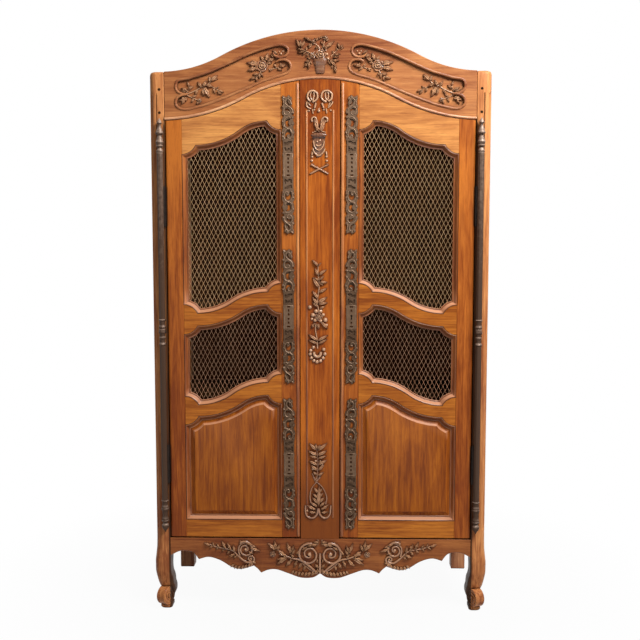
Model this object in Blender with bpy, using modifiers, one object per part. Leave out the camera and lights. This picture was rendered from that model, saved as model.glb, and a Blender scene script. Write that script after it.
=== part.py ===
"""Bookcase cabinet in the French provincial manner.

A walnut carcase on cabriole legs, closed by two framed doors with wire grilles.
Metres, +Z up. The front faces -Y, and the origin is on the floor under the middle.
"""
import math

import bmesh
import bpy
from mathutils import Vector

# How finely curves are drawn
CROWN_STEPS = 6
EDGE_STEPS = 4
EAR_STEPS = 3
CARTOUCHE_STEPS = 10
APRON_STEPS = 2
TURN_STEPS = 12

# Overall sizes
CASE_WIDTH = 1.372          # across the front posts
CASE_DEPTH = 0.550          # from the front face of the posts to the back
POST_TOP = 2.216            # top of the corner posts
CROWN_RISE = 0.161          # crown of the cornice above the post tops

# Fits
FIT = 0.0003                # gap between pieces that touch
DOOR_GAP = 0.003            # play along the edges of a door
SILL_GAP = 0.006            # play under a door

# Corner posts and legs
POST_WIDTH = 0.060
POST_DEPTH = 0.066
POST_CORNER = 0.028         # radius of the rounded outer corner
POST_EDGE = 0.003           # radius of the other corners
FLUTE_RADIUS = 0.016
FLUTE_DEPTH = 0.006
FLUTE_BOTTOM = 0.345
FLUTE_TOP = 2.130
REAR_POST = 0.064
REAR_POST_INSET = 0.015     # rear post's outer face behind the front post's
LEG_TOP = 0.262             # where the cabriole curve starts
LEG_CURVE = (               # share of the way up from the scroll's eye, outer line, inner line
    (0.00, -0.030, 0.012), (0.16, -0.012, 0.022), (0.28, -0.009, 0.024), (0.40, -0.002, 0.023),
    (0.52, 0.004, 0.018), (0.64, 0.007, 0.011), (0.76, 0.006, 0.004))
KNEE_OUT = 0.003            # outer line at the foot of the apron
PAD_HEIGHT = 0.018
PAD_IN = 0.021
PAD_INNER = 0.012
PAD_CHAMFER = 0.008         # slope from the pad up to the scroll's neck
PAD_STEP = 0.005
SCROLL_RADIUS = 0.030
SCROLL_WIDTH = 0.050
SCROLL_HEIGHT = 0.054       # height of the scroll's eye
SCROLL_OUT = 0.002          # how far the scroll stands out past the post

# Cornice
CROWN_PAST = 0.014          # the arch starts this far past the inner face of the posts
SHOULDER_SHARE = 0.38       # share of the run that curves upwards
CORNICE_HEIGHT = 0.192
CORNICE_THICK = 0.040
CORNICE_BEAD = 0.012
BEAD_PROUD = 0.005
CARTOUCHE_FROM = 0.1885     # its ends, as shares of the half width between the posts
CARTOUCHE_TO = 0.9297
CARTOUCHE_EDGE = 0.040      # plain wood above the cartouche
CARTOUCHE_HEIGHT = 0.108
CARTOUCHE_WAIST = 0.020     # how much narrower it is between its ends
CARTOUCHE_ROUND = 0.7       # how far its ends close
CARTOUCHE_DEPTH = 0.004

# Apron: its lower edge from a post to the middle, as shares of the half width and heights
APRON_TOP = 0.304
APRON_THICK = 0.045
APRON_ENDS = ((1.000, 0.226), (0.952, 0.242), (0.907, 0.247), (0.850, 0.239), (0.812, 0.210))
APRON_WAVE = ((0.812, 0.210), (0.745, 0.220), (0.668, 0.206), (0.590, 0.177), (0.527, 0.169),
              (0.443, 0.184))
APRON_DROP = ((0.443, 0.184), (0.416, 0.170), (0.395, 0.154))
APRON_LOBE = ((0.395, 0.154), (0.344, 0.167), (0.288, 0.168), (0.208, 0.151), (0.128, 0.134),
              (0.048, 0.135), (0.000, 0.153))

# Centre post
CENTRE_WIDTH = 0.160
CENTRE_THICK = 0.032
CENTRE_FIELD = 0.104        # width of its sunk carved field
CENTRE_FIELD_DEPTH = 0.003
CENTRE_FIELD_ENDS = 0.055

# Side, back, top and floor
SIDE_FACE_INSET = 0.018     # side rails' outer face behind the front post's
RAIL_THICK = 0.030
SHELF_RAIL_THICK = 0.050    # the middle side rail also carries a shelf
SIDE_TOP_RAIL = 0.098
SIDE_MID_RAIL = 0.080
SIDE_RAIL_LOW = 0.235       # underside of the lowest side and back rails
SIDE_BOTTOM_RAIL = 0.100
PANEL_THICK = 0.012
PANEL_TONGUE = 0.010
PANEL_BEVEL = 0.035
PANEL_FIELD_RISE = 0.006
BACK_INSET = 0.010
BACK_BOARDS = 6
BACK_GROOVE = 0.003
TOP_THICK = 0.018
FLOOR_THICK = 0.020
SHELF_THICK = 0.022
SHELF_UPPER_Z = 1.245
SHELF_LOWER_Z = 0.872
SHELF_SET_BACK = 0.090      # front edge of a shelf behind the front posts
CLEAT = 0.026

# Tenons
TENON_THICK = 0.010
TENON_LONG = 0.030
TENON_SHOULDER = 0.020

# Doors
DOOR_THICK = 0.030
HINGE_STILE = 0.070
LOCK_STILE = 0.075
MOULDING = 0.022
MOULDING_CURVE = ((0.0, 0.002), (0.008, 0.0045), (0.016, 0.012), (1.0, 0.013))
REBATE_DEPTH = 0.018
REBATE_LAP = 0.010          # how far a grille or panel reaches into the frame
GROOVE_FRONT = 0.0145
GROOVE_WIDE = 0.007
EAR = 0.062                 # radius of the round ears at the ends of a shaped edge
EAR_SWEEP = math.radians(65)
UPPER_TOP = (1.885, 1.974)  # hinge side and lock side heights of each shaped edge
UPPER_BOTTOM = (1.280, 1.368)
LOWER_TOP = (1.153, 1.238)
LOWER_BOTTOM = (0.905, 0.999)
PANEL_TOP = (0.781, 0.866)
PANEL_BOTTOM = 0.382
EVEN = 0.5                  # share of an S curve whose two arcs are alike
TRIM = 0.004                # spare wood that the shaped edges cut away
FIELD_MARGIN = 0.040        # moulding's outer line to the raised field
FIELD_SET_BACK = 0.0035

# Grilles
GRILLE_THICK = 0.0025
GRILLE_WIRE = 0.004
DIAMOND_WIDE = 0.064
DIAMOND_TALL = 0.124

# Hinges
HINGE_INSET = 0.017         # axis to the inner face of the post
HINGE_CLEAR = 0.0008        # widest collar to the face of the post
BARREL_RADIUS = 0.0125
BARREL_HEAD = 0.322         # top of the post down to the top of the barrel
BARREL_BOTTOM = 0.470
COLLAR_MIDDLE = 1.164
COLLARS = ((0.050, 0.0145), (0.030, 0.0155), (0.000, 0.0155), (-0.030, 0.0155), (-0.050, 0.0145))
COLLAR_HALF = 0.005
PIN_RADIUS = 0.0045
PIN_LONG = 0.050
PIN_SLACK = 0.0005
FINIAL = ((0.0125, 0.018), (0.0095, 0.026), (0.0155, 0.034), (0.0155, 0.046), (0.0090, 0.054),
          (0.0145, 0.066), (0.0090, 0.078), (0.0125, 0.092), (0.0065, 0.106), (0.0105, 0.112))
FINIAL_TIP = 0.137
LEAF_THICK = 0.002
LEAF_LONG = 0.160
LEAF_DEEP = 0.026
LEAF_HEIGHTS = (0.620, 1.680)
KNUCKLE_LEAF = 0.060

# Escutcheons: three share the lock stile evenly
PLATES = ("bottom", "middle", "top")
PLATE_HEAD = 0.016          # plain stile above the highest
PLATE_FOOT = 0.005          # and under the lowest
PLATE_GAP = 0.057
PLATE_THICK = 0.003
PLATE_HALF = 0.026
PLATE_BOX = 0.049
PLATE_BLOCK_HALF = 0.019
PLATE_BLOCK = 0.042
PLATE_NECK_HALF = 0.009
PLATE_NECK = 0.006
PLATE_LOBES = 2
PLATE_LOBE_CURVE = ((0.25, 0.8), (0.5, 1.0), (0.75, 0.8))   # shares of a lobe's length and half width
PLATE_LOBE_HALF = 0.023
PLATE_TIP = 0.034
PLATE_TIP_HALF = 0.0145
PLATE_HOLE_SHARE = 0.45

# Lock and turn button
LOCK_WIDE = 0.078
LOCK_TALL = 0.100
LOCK_DEEP = 0.018
LOCK_SET_BACK = 0.005       # lock case behind the door's edge
BOLT_TALL = 0.014
BOLT_THICK = 0.006
BOLT_LONG = 0.060
BOLT_FRONT = 0.0035         # bolt behind the back of the door
BUTTON_Z = 1.020
BUTTON_IN = 0.022           # pivot to the edge of the centre post
BUTTON_LONG = 0.060
BUTTON_WIDE = 0.020
BUTTON_THICK = 0.010
BUTTON_PIN = 0.004
BUTTON_PIN_LONG = 0.012

# Finishes: colour, roughness, metallic
WALNUT = ((0.36, 0.16, 0.055), 0.42, 0.0)
INNER_WOOD = ((0.22, 0.13, 0.065), 0.65, 0.0)
IRON = ((0.095, 0.075, 0.062), 0.50, 0.85)
WIRE = ((0.40, 0.36, 0.27), 0.45, 0.80)

# Places worked out from the sizes above
COLLAR_REACH = max([radius for radius, height in FINIAL] + [radius for offset, radius in COLLARS])
HINGE_PROUD = COLLAR_REACH + HINGE_CLEAR
FACE = (HINGE_PROUD + COLLAR_REACH - CASE_DEPTH) / 2
BACK = FACE + CASE_DEPTH
POST_OUTER = CASE_WIDTH / 2
POST_INNER = POST_OUTER - POST_WIDTH
POST_BACK = FACE + POST_DEPTH
REAR_OUTER = POST_OUTER - REAR_POST_INSET
REAR_INNER = REAR_OUTER - REAR_POST
REAR_FRONT = BACK - REAR_POST
SIDE_OUTER = POST_OUTER - SIDE_FACE_INSET
SIDE_INNER = SIDE_OUTER - RAIL_THICK
SIDE_MIDDLE = SIDE_OUTER - RAIL_THICK / 2
RAIL_TOP = POST_TOP - TOP_THICK - FIT
BACK_RAIL_OUTER = BACK - BACK_INSET
BACK_MIDDLE = BACK_RAIL_OUTER - RAIL_THICK / 2
DOOR_OUTER = POST_INNER - DOOR_GAP
DOOR_INNER = CENTRE_WIDTH / 2 + DOOR_GAP
DOOR_BOTTOM = APRON_TOP + SILL_GAP
OPENING_OUTER = DOOR_OUTER - HINGE_STILE
OPENING_INNER = DOOR_INNER + LOCK_STILE
STILE_EDGE_OUTER = OPENING_OUTER - MOULDING - TRIM / 2
STILE_EDGE_INNER = OPENING_INNER + MOULDING + TRIM / 2
HINGE_X = POST_INNER + HINGE_INSET
HINGE_Y = FACE - HINGE_PROUD
BARREL_TOP = POST_TOP - BARREL_HEAD
CROWN_RUN = POST_INNER + CROWN_PAST
LOCK_EDGE = DOOR_INNER + LOCK_SET_BACK
BUTTON_X = -(CENTRE_WIDTH / 2 - BUTTON_IN)

SIDES = (("left", -1), ("right", 1))


def collection(name):
    group = bpy.data.collections.new(name)
    bpy.context.scene.collection.children.link(group)
    return group


def dress(obj, finish):
    colour, roughness, metallic = finish
    material = bpy.data.materials.new(obj.name + "_finish")
    material.use_nodes = True
    shader = material.node_tree.nodes["Principled BSDF"]
    shader.inputs["Base Color"].default_value = (*colour, 1.0)
    shader.inputs["Roughness"].default_value = roughness
    shader.inputs["Metallic"].default_value = metallic
    obj.data.materials.clear()
    obj.data.materials.append(material)
    return obj


def place(name, mesh, as_cutter=False):
    obj = bpy.data.objects.new(name, mesh)
    group = CUTTERS if as_cutter else PARTS
    group.objects.link(obj)
    obj.hide_render = as_cutter
    if as_cutter:
        obj.display_type = "WIRE"
    return obj


def cut(obj, *cutters):
    for cutter in cutters:
        modifier = obj.modifiers.new("cut_" + cutter.name, "BOOLEAN")
        modifier.operation = "DIFFERENCE"
        modifier.object = cutter
    return obj


def fuse(obj, *others):
    for other in others:
        modifier = obj.modifiers.new("with_" + other.name, "BOOLEAN")
        modifier.operation = "UNION"
        modifier.object = other
    return obj


def box(name, low, high, as_cutter=False):
    mesh = bpy.data.meshes.new(name)
    shape = bmesh.new()
    bmesh.ops.create_cube(shape, size=1.0)
    size = Vector(high) - Vector(low)
    bmesh.ops.scale(shape, vec=size, verts=shape.verts)
    shape.to_mesh(mesh)
    shape.free()
    obj = place(name, mesh, as_cutter)
    obj.location = (Vector(high) + Vector(low)) / 2
    return obj


def span(hand, near, far, low_y, high_y, low_z, high_z):
    """Corners of a block between two distances from the middle, on one side."""
    low = (min(hand * near, hand * far), low_y, low_z)
    high = (max(hand * near, hand * far), high_y, high_z)
    return low, high


def grown(corners, room):
    low, high = corners
    return [value - room for value in low], [value + room for value in high]


def flat_piece(name, loops, thickness, turn, location, as_cutter):
    """A filled flat drawing, given its thickness and made a mesh."""
    drawing = bpy.data.curves.new(name + "_drawing", "CURVE")
    drawing.dimensions = "2D"
    drawing.fill_mode = "BOTH"
    drawing.extrude = thickness / 2
    for loop in loops:
        spline = drawing.splines.new("POLY")
        spline.points.add(len(loop) - 1)
        for point, (across, along) in zip(spline.points, loop):
            point.co = (across, along, 0.0, 1.0)
        spline.use_cyclic_u = True
    guide = bpy.data.objects.new(name + "_drawing", drawing)
    CUTTERS.objects.link(guide)
    guide.rotation_euler = turn
    guide.location = location
    bpy.context.view_layer.update()
    graph = bpy.context.evaluated_depsgraph_get()
    mesh = bpy.data.meshes.new_from_object(guide.evaluated_get(graph))
    shape = bmesh.new()
    shape.from_mesh(mesh)
    bmesh.ops.remove_doubles(shape, verts=shape.verts, dist=0.00001)
    shape.to_mesh(mesh)
    shape.free()
    obj = place(name, mesh, as_cutter)
    obj.matrix_world = guide.matrix_world
    bpy.data.objects.remove(guide)
    return obj


def upright(name, loops, front, thickness, as_cutter=False):
    """A flat piece that faces the front; its outlines are in X and Z."""
    middle = (0.0, front + thickness / 2, 0.0)
    return flat_piece(name, loops, thickness, (math.pi / 2, 0.0, 0.0), middle, as_cutter)


def lying(name, loops, bottom, thickness, as_cutter=False):
    """A flat piece that lies level; its outlines are in X and Y."""
    middle = (0.0, 0.0, bottom + thickness / 2)
    return flat_piece(name, loops, thickness, (0.0, 0.0, 0.0), middle, as_cutter)


def loft(name, rings, as_cutter=False):
    """A closed skin over sections that have the same number of points."""
    mesh = bpy.data.meshes.new(name)
    shape = bmesh.new()
    rows = [[shape.verts.new(point) for point in ring] for ring in rings]
    for row, following in zip(rows, rows[1:]):
        for index, corner in enumerate(row):
            after = (index + 1) % len(row)
            shape.faces.new((corner, row[after], following[after], following[index]))
    shape.faces.new(rows[0])
    shape.faces.new(rows[-1])
    bmesh.ops.recalc_face_normals(shape, faces=shape.faces)
    shape.to_mesh(mesh)
    shape.free()
    return place(name, mesh, as_cutter)


def turned(name, profile, centre):
    """A turned piece; the profile runs top to bottom as radius and height."""
    mesh = bpy.data.meshes.new(name)
    edges = [(index, index + 1) for index in range(len(profile) - 1)]
    mesh.from_pydata([(radius, 0.0, height) for radius, height in profile], edges, [])
    obj = place(name, mesh)
    obj.location = centre
    screw = obj.modifiers.new("turning", "SCREW")
    screw.steps = TURN_STEPS
    screw.render_steps = TURN_STEPS
    screw.use_merge_vertices = True
    screw.merge_threshold = 0.00001
    return obj


def hang_on(pivot, *pieces):
    for piece in pieces:
        piece.parent = pivot
        piece.matrix_parent_inverse = pivot.matrix_world.inverted()


def pivot_at(name, location):
    empty = bpy.data.objects.new(name, None)
    empty.location = location
    PARTS.objects.link(empty)
    bpy.context.view_layer.update()
    return empty


def ogee(start, end, share, steps=EDGE_STEPS):
    """Two tangent arcs, level at both ends; the first takes a share of the run."""
    run = end[0] - start[0]
    rise = end[1] - start[1]
    bend = 2 * math.atan2(abs(rise), abs(run))
    first = share * abs(run) / math.sin(bend)
    second = (1 - share) * abs(run) / math.sin(bend)
    way = math.copysign(1, run)
    up = math.copysign(1, rise)
    points = []
    for step in range(steps + 1):
        angle = bend * step / steps
        across = start[0] + way * first * math.sin(angle)
        points.append((across, start[1] + up * first * (1 - math.cos(angle))))
    for step in reversed(range(steps)):
        angle = bend * step / steps
        across = end[0] - way * second * math.sin(angle)
        points.append((across, end[1] - up * second * (1 - math.cos(angle))))
    return points


def smooth(points, steps):
    """A flowing line through the points."""
    ends = [points[0], *points, points[-1]]
    line = []
    for before, start, end, after in zip(ends, ends[1:], ends[2:], ends[3:]):
        for step in range(steps):
            part = step / steps
            line.append(tuple(
                0.5 * (2 * b + (c - a) * part + (2 * a - 5 * b + 4 * c - d) * part ** 2
                       + (3 * b - a - 3 * c + d) * part ** 3)
                for a, b, c, d in zip(before, start, end, after)))
    line.append(points[-1])
    return line


def inset(loop, distance):
    """The outline moved towards its inside, with mitred corners."""
    following = loop[1:] + loop[:1]
    area = sum(a[0] * b[1] - b[0] * a[1] for a, b in zip(loop, following))
    way = math.copysign(1, area)
    moved = []
    for before, corner, after in zip(loop[-1:] + loop[:-1], loop, following):
        first = (Vector(corner) - Vector(before)).normalized()
        second = (Vector(after) - Vector(corner)).normalized()
        normal = Vector((-first.y, first.x)) * way
        next_normal = Vector((-second.y, second.x)) * way
        mitre = (normal + next_normal) / (1 + normal.dot(next_normal))
        moved.append(tuple(Vector(corner) + mitre * distance))
    return moved


def inside(loop, x, z):
    crossings = 0
    for (x1, z1), (x2, z2) in zip(loop, loop[1:] + loop[:1]):
        if (z1 > z) != (z2 > z) and x < x1 + (z - z1) * (x2 - x1) / (z2 - z1):
            crossings += 1
    return crossings % 2 == 1


def crown_line():
    """Half of the arch, as distance from the middle and height, from its foot inwards."""
    return ogee((CROWN_RUN, POST_TOP), (0.0, POST_TOP + CROWN_RISE), SHOULDER_SHARE, CROWN_STEPS)


def crown_height(across):
    """Height of the cornice's top edge at a distance from the middle."""
    line = crown_line()
    for (far, low), (near, high) in zip(line, line[1:]):
        if near <= across <= far:
            return low + (high - low) * (far - across) / (far - near)
    return POST_TOP


def crown(reach):
    """The arch from a distance inwards to the middle."""
    return [(reach, crown_height(reach))] + [point for point in crown_line() if point[0] < reach - TRIM]


def under_cornice(near, far, drop):
    """Points under the cornice between two distances from the middle."""
    between = [point[0] for point in crown(POST_INNER) if near + TRIM < point[0] < far - TRIM]
    return [(across, crown_height(across) - CORNICE_HEIGHT - drop) for across in [far, *between, near]]


def both_halves(half):
    """A line across the whole front from one that ends on the middle."""
    return [(-across, height) for across, height in half] + [point for point in reversed(half[:-1])]


def tenon(name, corners, rail, *mortised):
    """A tenon on a rail, and the mortise that takes it."""
    fuse(rail, box(name + "_tenon", *corners, as_cutter=True))
    mortise = box(name + "_mortise", *grown(corners, FIT), as_cutter=True)
    for piece in mortised:
        cut(piece, mortise)


def leg_section(height, out, inner, hand):
    """Rounded section of a front post or leg; the outer corner is the roundest."""
    low_x, high_x = POST_INNER - inner, POST_OUTER + out
    low_y, high_y = FACE - out, POST_BACK + inner
    corners = ((high_x, low_y, -1, 1, POST_CORNER, 5), (high_x, high_y, -1, -1, POST_EDGE, 2),
               (low_x, high_y, 1, -1, POST_EDGE, 2), (low_x, low_y, 1, 1, POST_EDGE, 2))
    turns = (270, 0, 90, 180)
    ring = []
    for (x, y, to_x, to_y, radius, count), turn in zip(corners, turns):
        for step in range(count):
            angle = math.radians(turn + 90 * step / (count - 1))
            across = x + to_x * radius + radius * math.cos(angle)
            ring.append((hand * across, y + to_y * radius + radius * math.sin(angle), height))
    return ring


def front_post(side, hand):
    name = "front_post_" + side
    calf = LEG_TOP - SCROLL_HEIGHT
    stations = [
        (0.0, -PAD_IN, PAD_INNER),
        (PAD_HEIGHT, -PAD_IN, PAD_INNER),
        (PAD_HEIGHT + PAD_CHAMFER, -PAD_IN - PAD_STEP, PAD_INNER - PAD_STEP),
    ]
    stations += [(SCROLL_HEIGHT + share * calf, out, inner) for share, out, inner in LEG_CURVE]
    stations += [
        (APRON_ENDS[0][1] - FIT, KNEE_OUT, 0.0),
        (LEG_TOP, 0.0, 0.0),
        (POST_TOP, 0.0, 0.0),
    ]
    post = loft(name, [leg_section(*station, hand) for station in stations])
    reach = (SCROLL_RADIUS + SCROLL_WIDTH / 2) / math.sqrt(2)
    bpy.ops.mesh.primitive_cylinder_add(vertices=14, radius=SCROLL_RADIUS, depth=SCROLL_WIDTH)
    scroll = bpy.context.object
    scroll.name = name + "_scroll"
    scroll.rotation_euler = (math.pi / 2, 0.0, hand * math.pi / 4)
    scroll.location = (hand * (POST_OUTER + SCROLL_OUT - reach), FACE - SCROLL_OUT + reach, SCROLL_HEIGHT)
    as_tool(scroll)
    fuse(post, scroll)
    deep = POST_CORNER + FLUTE_RADIUS - FLUTE_DEPTH
    bpy.ops.mesh.primitive_cylinder_add(vertices=12, radius=FLUTE_RADIUS, depth=FLUTE_TOP - FLUTE_BOTTOM)
    flute = bpy.context.object
    flute.name = name + "_flute"
    flute.location = (hand * (POST_OUTER - POST_CORNER + deep / math.sqrt(2)),
                      FACE + POST_CORNER - deep / math.sqrt(2), (FLUTE_TOP + FLUTE_BOTTOM) / 2)
    as_tool(flute)
    cut(post, flute)
    return dress(post, WALNUT)


def as_tool(obj):
    """Move a primitive that only shapes other pieces among the cutters."""
    for group in list(obj.users_collection):
        group.objects.unlink(obj)
    CUTTERS.objects.link(obj)
    obj.hide_render = True
    obj.display_type = "WIRE"


def rear_post(side, hand):
    corners = span(hand, REAR_INNER, REAR_OUTER, REAR_FRONT, BACK, 0.0, POST_TOP)
    post = box("rear_post_" + side, *corners)
    bevel = post.modifiers.new("softened_edges", "BEVEL")
    bevel.width = POST_EDGE
    bevel.segments = 1
    return dress(post, WALNUT)


def cornice(posts):
    top = both_halves(crown(POST_INNER - FIT))
    low = [(across, height - CORNICE_HEIGHT) for across, height in top]
    rail = upright("cornice_rail", [top + low[::-1]], FACE, CORNICE_THICK)
    bead_top = [(across, height + CORNICE_BEAD) for across, height in low]
    bead_low = [(across, height + TRIM / 2) for across, height in low]
    bead = upright("cornice_bead", [bead_top + bead_low[::-1]], FACE - BEAD_PROUD,
                   BEAD_PROUD + CORNICE_THICK / 2, as_cutter=True)
    fuse(rail, bead)
    for side, hand in SIDES:
        end_top = crown_height(POST_INNER) - TENON_SHOULDER
        end_low = crown_height(POST_INNER) - CORNICE_HEIGHT + TENON_SHOULDER
        middle = FACE + CORNICE_THICK / 2
        corners = span(hand, POST_INNER - TENON_LONG, POST_INNER + TENON_LONG, middle - TENON_THICK / 2,
                       middle + TENON_THICK / 2, end_low, end_top)
        tenon("cornice_" + side, corners, rail, posts[side])
    for side, hand in SIDES:
        loop = [(hand * across, height) for across, height in cartouche()]
        cut(rail, upright("cartouche_" + side, [loop], FACE - CARTOUCHE_DEPTH, 2 * CARTOUCHE_DEPTH, True))
    return dress(rail, WALNUT)


def cartouche():
    """Outline of the sunk cartouche: it follows the arch and is waisted between its round ends."""
    far = CARTOUCHE_TO * POST_INNER
    long = far - CARTOUCHE_FROM * POST_INNER
    upper, lower = [], []
    for step in range(CARTOUCHE_STEPS + 1):
        part = step / CARTOUCHE_STEPS
        across = far - long * part
        bulge = math.sin(math.pi * part)
        near_end = min(part, 1 - part) * long
        rounding = max(0.0, 1 - near_end / (CARTOUCHE_HEIGHT / 2))
        closing = math.sqrt(1 - CARTOUCHE_ROUND * rounding ** 2)
        half = (CARTOUCHE_HEIGHT / 2 - CARTOUCHE_WAIST * bulge) * closing
        middle = crown_height(across) - CARTOUCHE_EDGE - CARTOUCHE_HEIGHT / 2
        upper.append((across, middle + half))
        lower.append((across, middle - half))
    return upper + lower[::-1]


def apron(posts):
    reach = POST_INNER - FIT
    half = []
    for stretch in (APRON_ENDS, APRON_WAVE, APRON_DROP, APRON_LOBE):
        half += smooth([(share * reach, height) for share, height in stretch], APRON_STEPS)[:-1]
    half.append(APRON_LOBE[-1])
    low = both_halves(half)
    top = [(reach, APRON_TOP), (-reach, APRON_TOP)]
    rail = upright("apron_rail", [low + top], FACE, APRON_THICK)
    middle = FACE + APRON_THICK / 2
    for side, hand in SIDES:
        corners = span(hand, POST_INNER - TENON_LONG, POST_INNER + TENON_LONG, middle - TENON_THICK / 2,
                       middle + TENON_THICK / 2, APRON_ENDS[2][1] + TENON_SHOULDER / 2,
                       APRON_TOP - TENON_SHOULDER)
        tenon("apron_" + side, corners, rail, posts[side])
    return dress(rail, WALNUT)


def centre_post(cornice_rail, apron_rail):
    half = CENTRE_WIDTH / 2
    arch = under_cornice(0.0, half, FIT)
    top = both_halves(arch)
    low = APRON_TOP + FIT
    post = upright("centre_post", [top + [(half, low), (-half, low)]], FACE, CENTRE_THICK)
    middle = FACE + CENTRE_THICK / 2
    wide = half - TENON_SHOULDER
    thick = TENON_THICK / 2
    ends = ((APRON_TOP - TENON_LONG, APRON_TOP + TENON_LONG, apron_rail, "centre_low"),
            (arch[0][1] - TENON_LONG, arch[0][1] + TENON_LONG, cornice_rail, "centre_high"))
    for bottom, height, holder, name in ends:
        tenon(name, ((-wide, middle - thick, bottom), (wide, middle + thick, height)), post, holder)
    field_low = (-CENTRE_FIELD / 2, FACE - CENTRE_FIELD_DEPTH, low + CENTRE_FIELD_ENDS)
    field_high = (CENTRE_FIELD / 2, FACE + CENTRE_FIELD_DEPTH, arch[0][1] - CENTRE_FIELD_ENDS)
    cut(post, box("centre_field", field_low, field_high, as_cutter=True))
    return dress(post, WALNUT)


def side_frames(posts, rear_posts):
    """Rails and panels between the front and rear posts."""
    levels = {"top": (RAIL_TOP - SIDE_TOP_RAIL, RAIL_TOP, RAIL_THICK),
              "mid": (SHELF_UPPER_Z - SIDE_MID_RAIL, SHELF_UPPER_Z, SHELF_RAIL_THICK),
              "bottom": (SIDE_RAIL_LOW, SIDE_RAIL_LOW + SIDE_BOTTOM_RAIL, RAIL_THICK)}
    near = SIDE_MIDDLE - TENON_THICK / 2
    far = SIDE_MIDDLE + TENON_THICK / 2
    for side, hand in SIDES:
        rails = {}
        for level, (low, high, thick) in levels.items():
            corners = span(hand, SIDE_OUTER - thick, SIDE_OUTER,
                           POST_BACK + FIT, REAR_FRONT - FIT, low, high)
            rail = box("side_%s_rail_%s" % (level, side), *corners)
            ends = ((POST_BACK, posts[side], "front"), (REAR_FRONT, rear_posts[side], "rear"))
            for end, post, word in ends:
                corners = span(hand, near, far, end - TENON_LONG, end + TENON_LONG,
                               low + TENON_SHOULDER, high - TENON_SHOULDER)
                tenon("side_%s_%s_%s" % (level, side, word), corners, rail, post)
            rails[level] = dress(rail, WALNUT)
        for word, below, above in (("upper", "mid", "top"), ("lower", "bottom", "mid")):
            low = levels[below][1]
            high = levels[above][0]
            panel = side_panel("side_%s_panel_%s" % (word, side), hand, low, high)
            groove = span(hand, SIDE_MIDDLE - PANEL_THICK / 2, SIDE_MIDDLE + PANEL_THICK / 2,
                          POST_BACK - PANEL_TONGUE, REAR_FRONT + PANEL_TONGUE,
                          low - PANEL_TONGUE, high + PANEL_TONGUE)
            tool = box(panel.name + "_groove", *grown(groove, FIT), as_cutter=True)
            for piece in (posts[side], rear_posts[side], rails[below], rails[above]):
                cut(piece, tool)


def side_panel(name, hand, low, high):
    """A panel with a bevelled border round its raised field."""
    def ring(across, margin):
        front = POST_BACK - PANEL_TONGUE + margin
        rear = REAR_FRONT + PANEL_TONGUE - margin
        bottom = low - PANEL_TONGUE + margin
        top = high + PANEL_TONGUE - margin
        return [(hand * across, front, bottom), (hand * across, rear, bottom),
                (hand * across, rear, top), (hand * across, front, top)]
    inner = SIDE_MIDDLE - PANEL_THICK / 2
    outer = SIDE_MIDDLE + PANEL_THICK / 2
    border = PANEL_TONGUE + FIT
    rings = (ring(inner, 0.0), ring(outer, 0.0), ring(outer, border),
             ring(outer + PANEL_FIELD_RISE / 2, border + PANEL_BEVEL),
             ring(outer + PANEL_FIELD_RISE, border + PANEL_BEVEL))
    return dress(loft(name, rings), WALNUT)


def back_frame(rear_posts):
    """Top and bottom rails between the rear posts, and the boards in their grooves."""
    levels = (("top", RAIL_TOP - SIDE_TOP_RAIL, RAIL_TOP), ("bottom", SIDE_RAIL_LOW, APRON_TOP))
    rails = {}
    for level, low, high in levels:
        rail_low = (-REAR_INNER + FIT, BACK_RAIL_OUTER - RAIL_THICK, low)
        rail_high = (REAR_INNER - FIT, BACK_RAIL_OUTER, high)
        rail = box("back_%s_rail" % level, rail_low, rail_high)
        for side, hand in SIDES:
            corners = span(hand, REAR_INNER - TENON_LONG, REAR_INNER + TENON_LONG,
                           BACK_MIDDLE - TENON_THICK / 2, BACK_MIDDLE + TENON_THICK / 2,
                           low + TENON_SHOULDER, high - TENON_SHOULDER)
            tenon("back_%s_%s" % (level, side), corners, rail, rear_posts[side])
        rails[level] = dress(rail, INNER_WOOD)
    front = BACK_MIDDLE - PANEL_THICK / 2
    rear = BACK_MIDDLE + PANEL_THICK / 2
    edge = REAR_INNER + PANEL_TONGUE
    loop = [(-edge, front), (edge, front), (edge, rear)]
    for board in range(1, BACK_BOARDS):
        joint = edge - 2 * edge * board / BACK_BOARDS
        loop += [(joint + BACK_GROOVE, rear), (joint, rear - BACK_GROOVE), (joint - BACK_GROOVE, rear)]
    loop.append((-edge, rear))
    bottom = APRON_TOP - PANEL_TONGUE
    height = RAIL_TOP - SIDE_TOP_RAIL + PANEL_TONGUE - bottom
    panel = lying("back_panel", [loop], bottom, height)
    groove = ((-edge, front, bottom), (edge, rear, bottom + height))
    tool = box("back_panel_groove", *grown(groove, FIT), as_cutter=True)
    for piece in (*rear_posts.values(), *rails.values()):
        cut(piece, tool)
    return dress(panel, INNER_WOOD)


def notched(front, rear, half, front_notch, rear_notch):
    """Plan of a board; each notch is the half width left and how deep it runs."""
    right = []
    if front_notch:
        right += [(front_notch[0], front), (front_notch[0], front_notch[1]), (half, front_notch[1])]
    else:
        right += [(half, front)]
    right += [(half, rear_notch[1]), (rear_notch[0], rear_notch[1]), (rear_notch[0], rear)]
    return right + [(-across, along) for across, along in reversed(right)]


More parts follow.
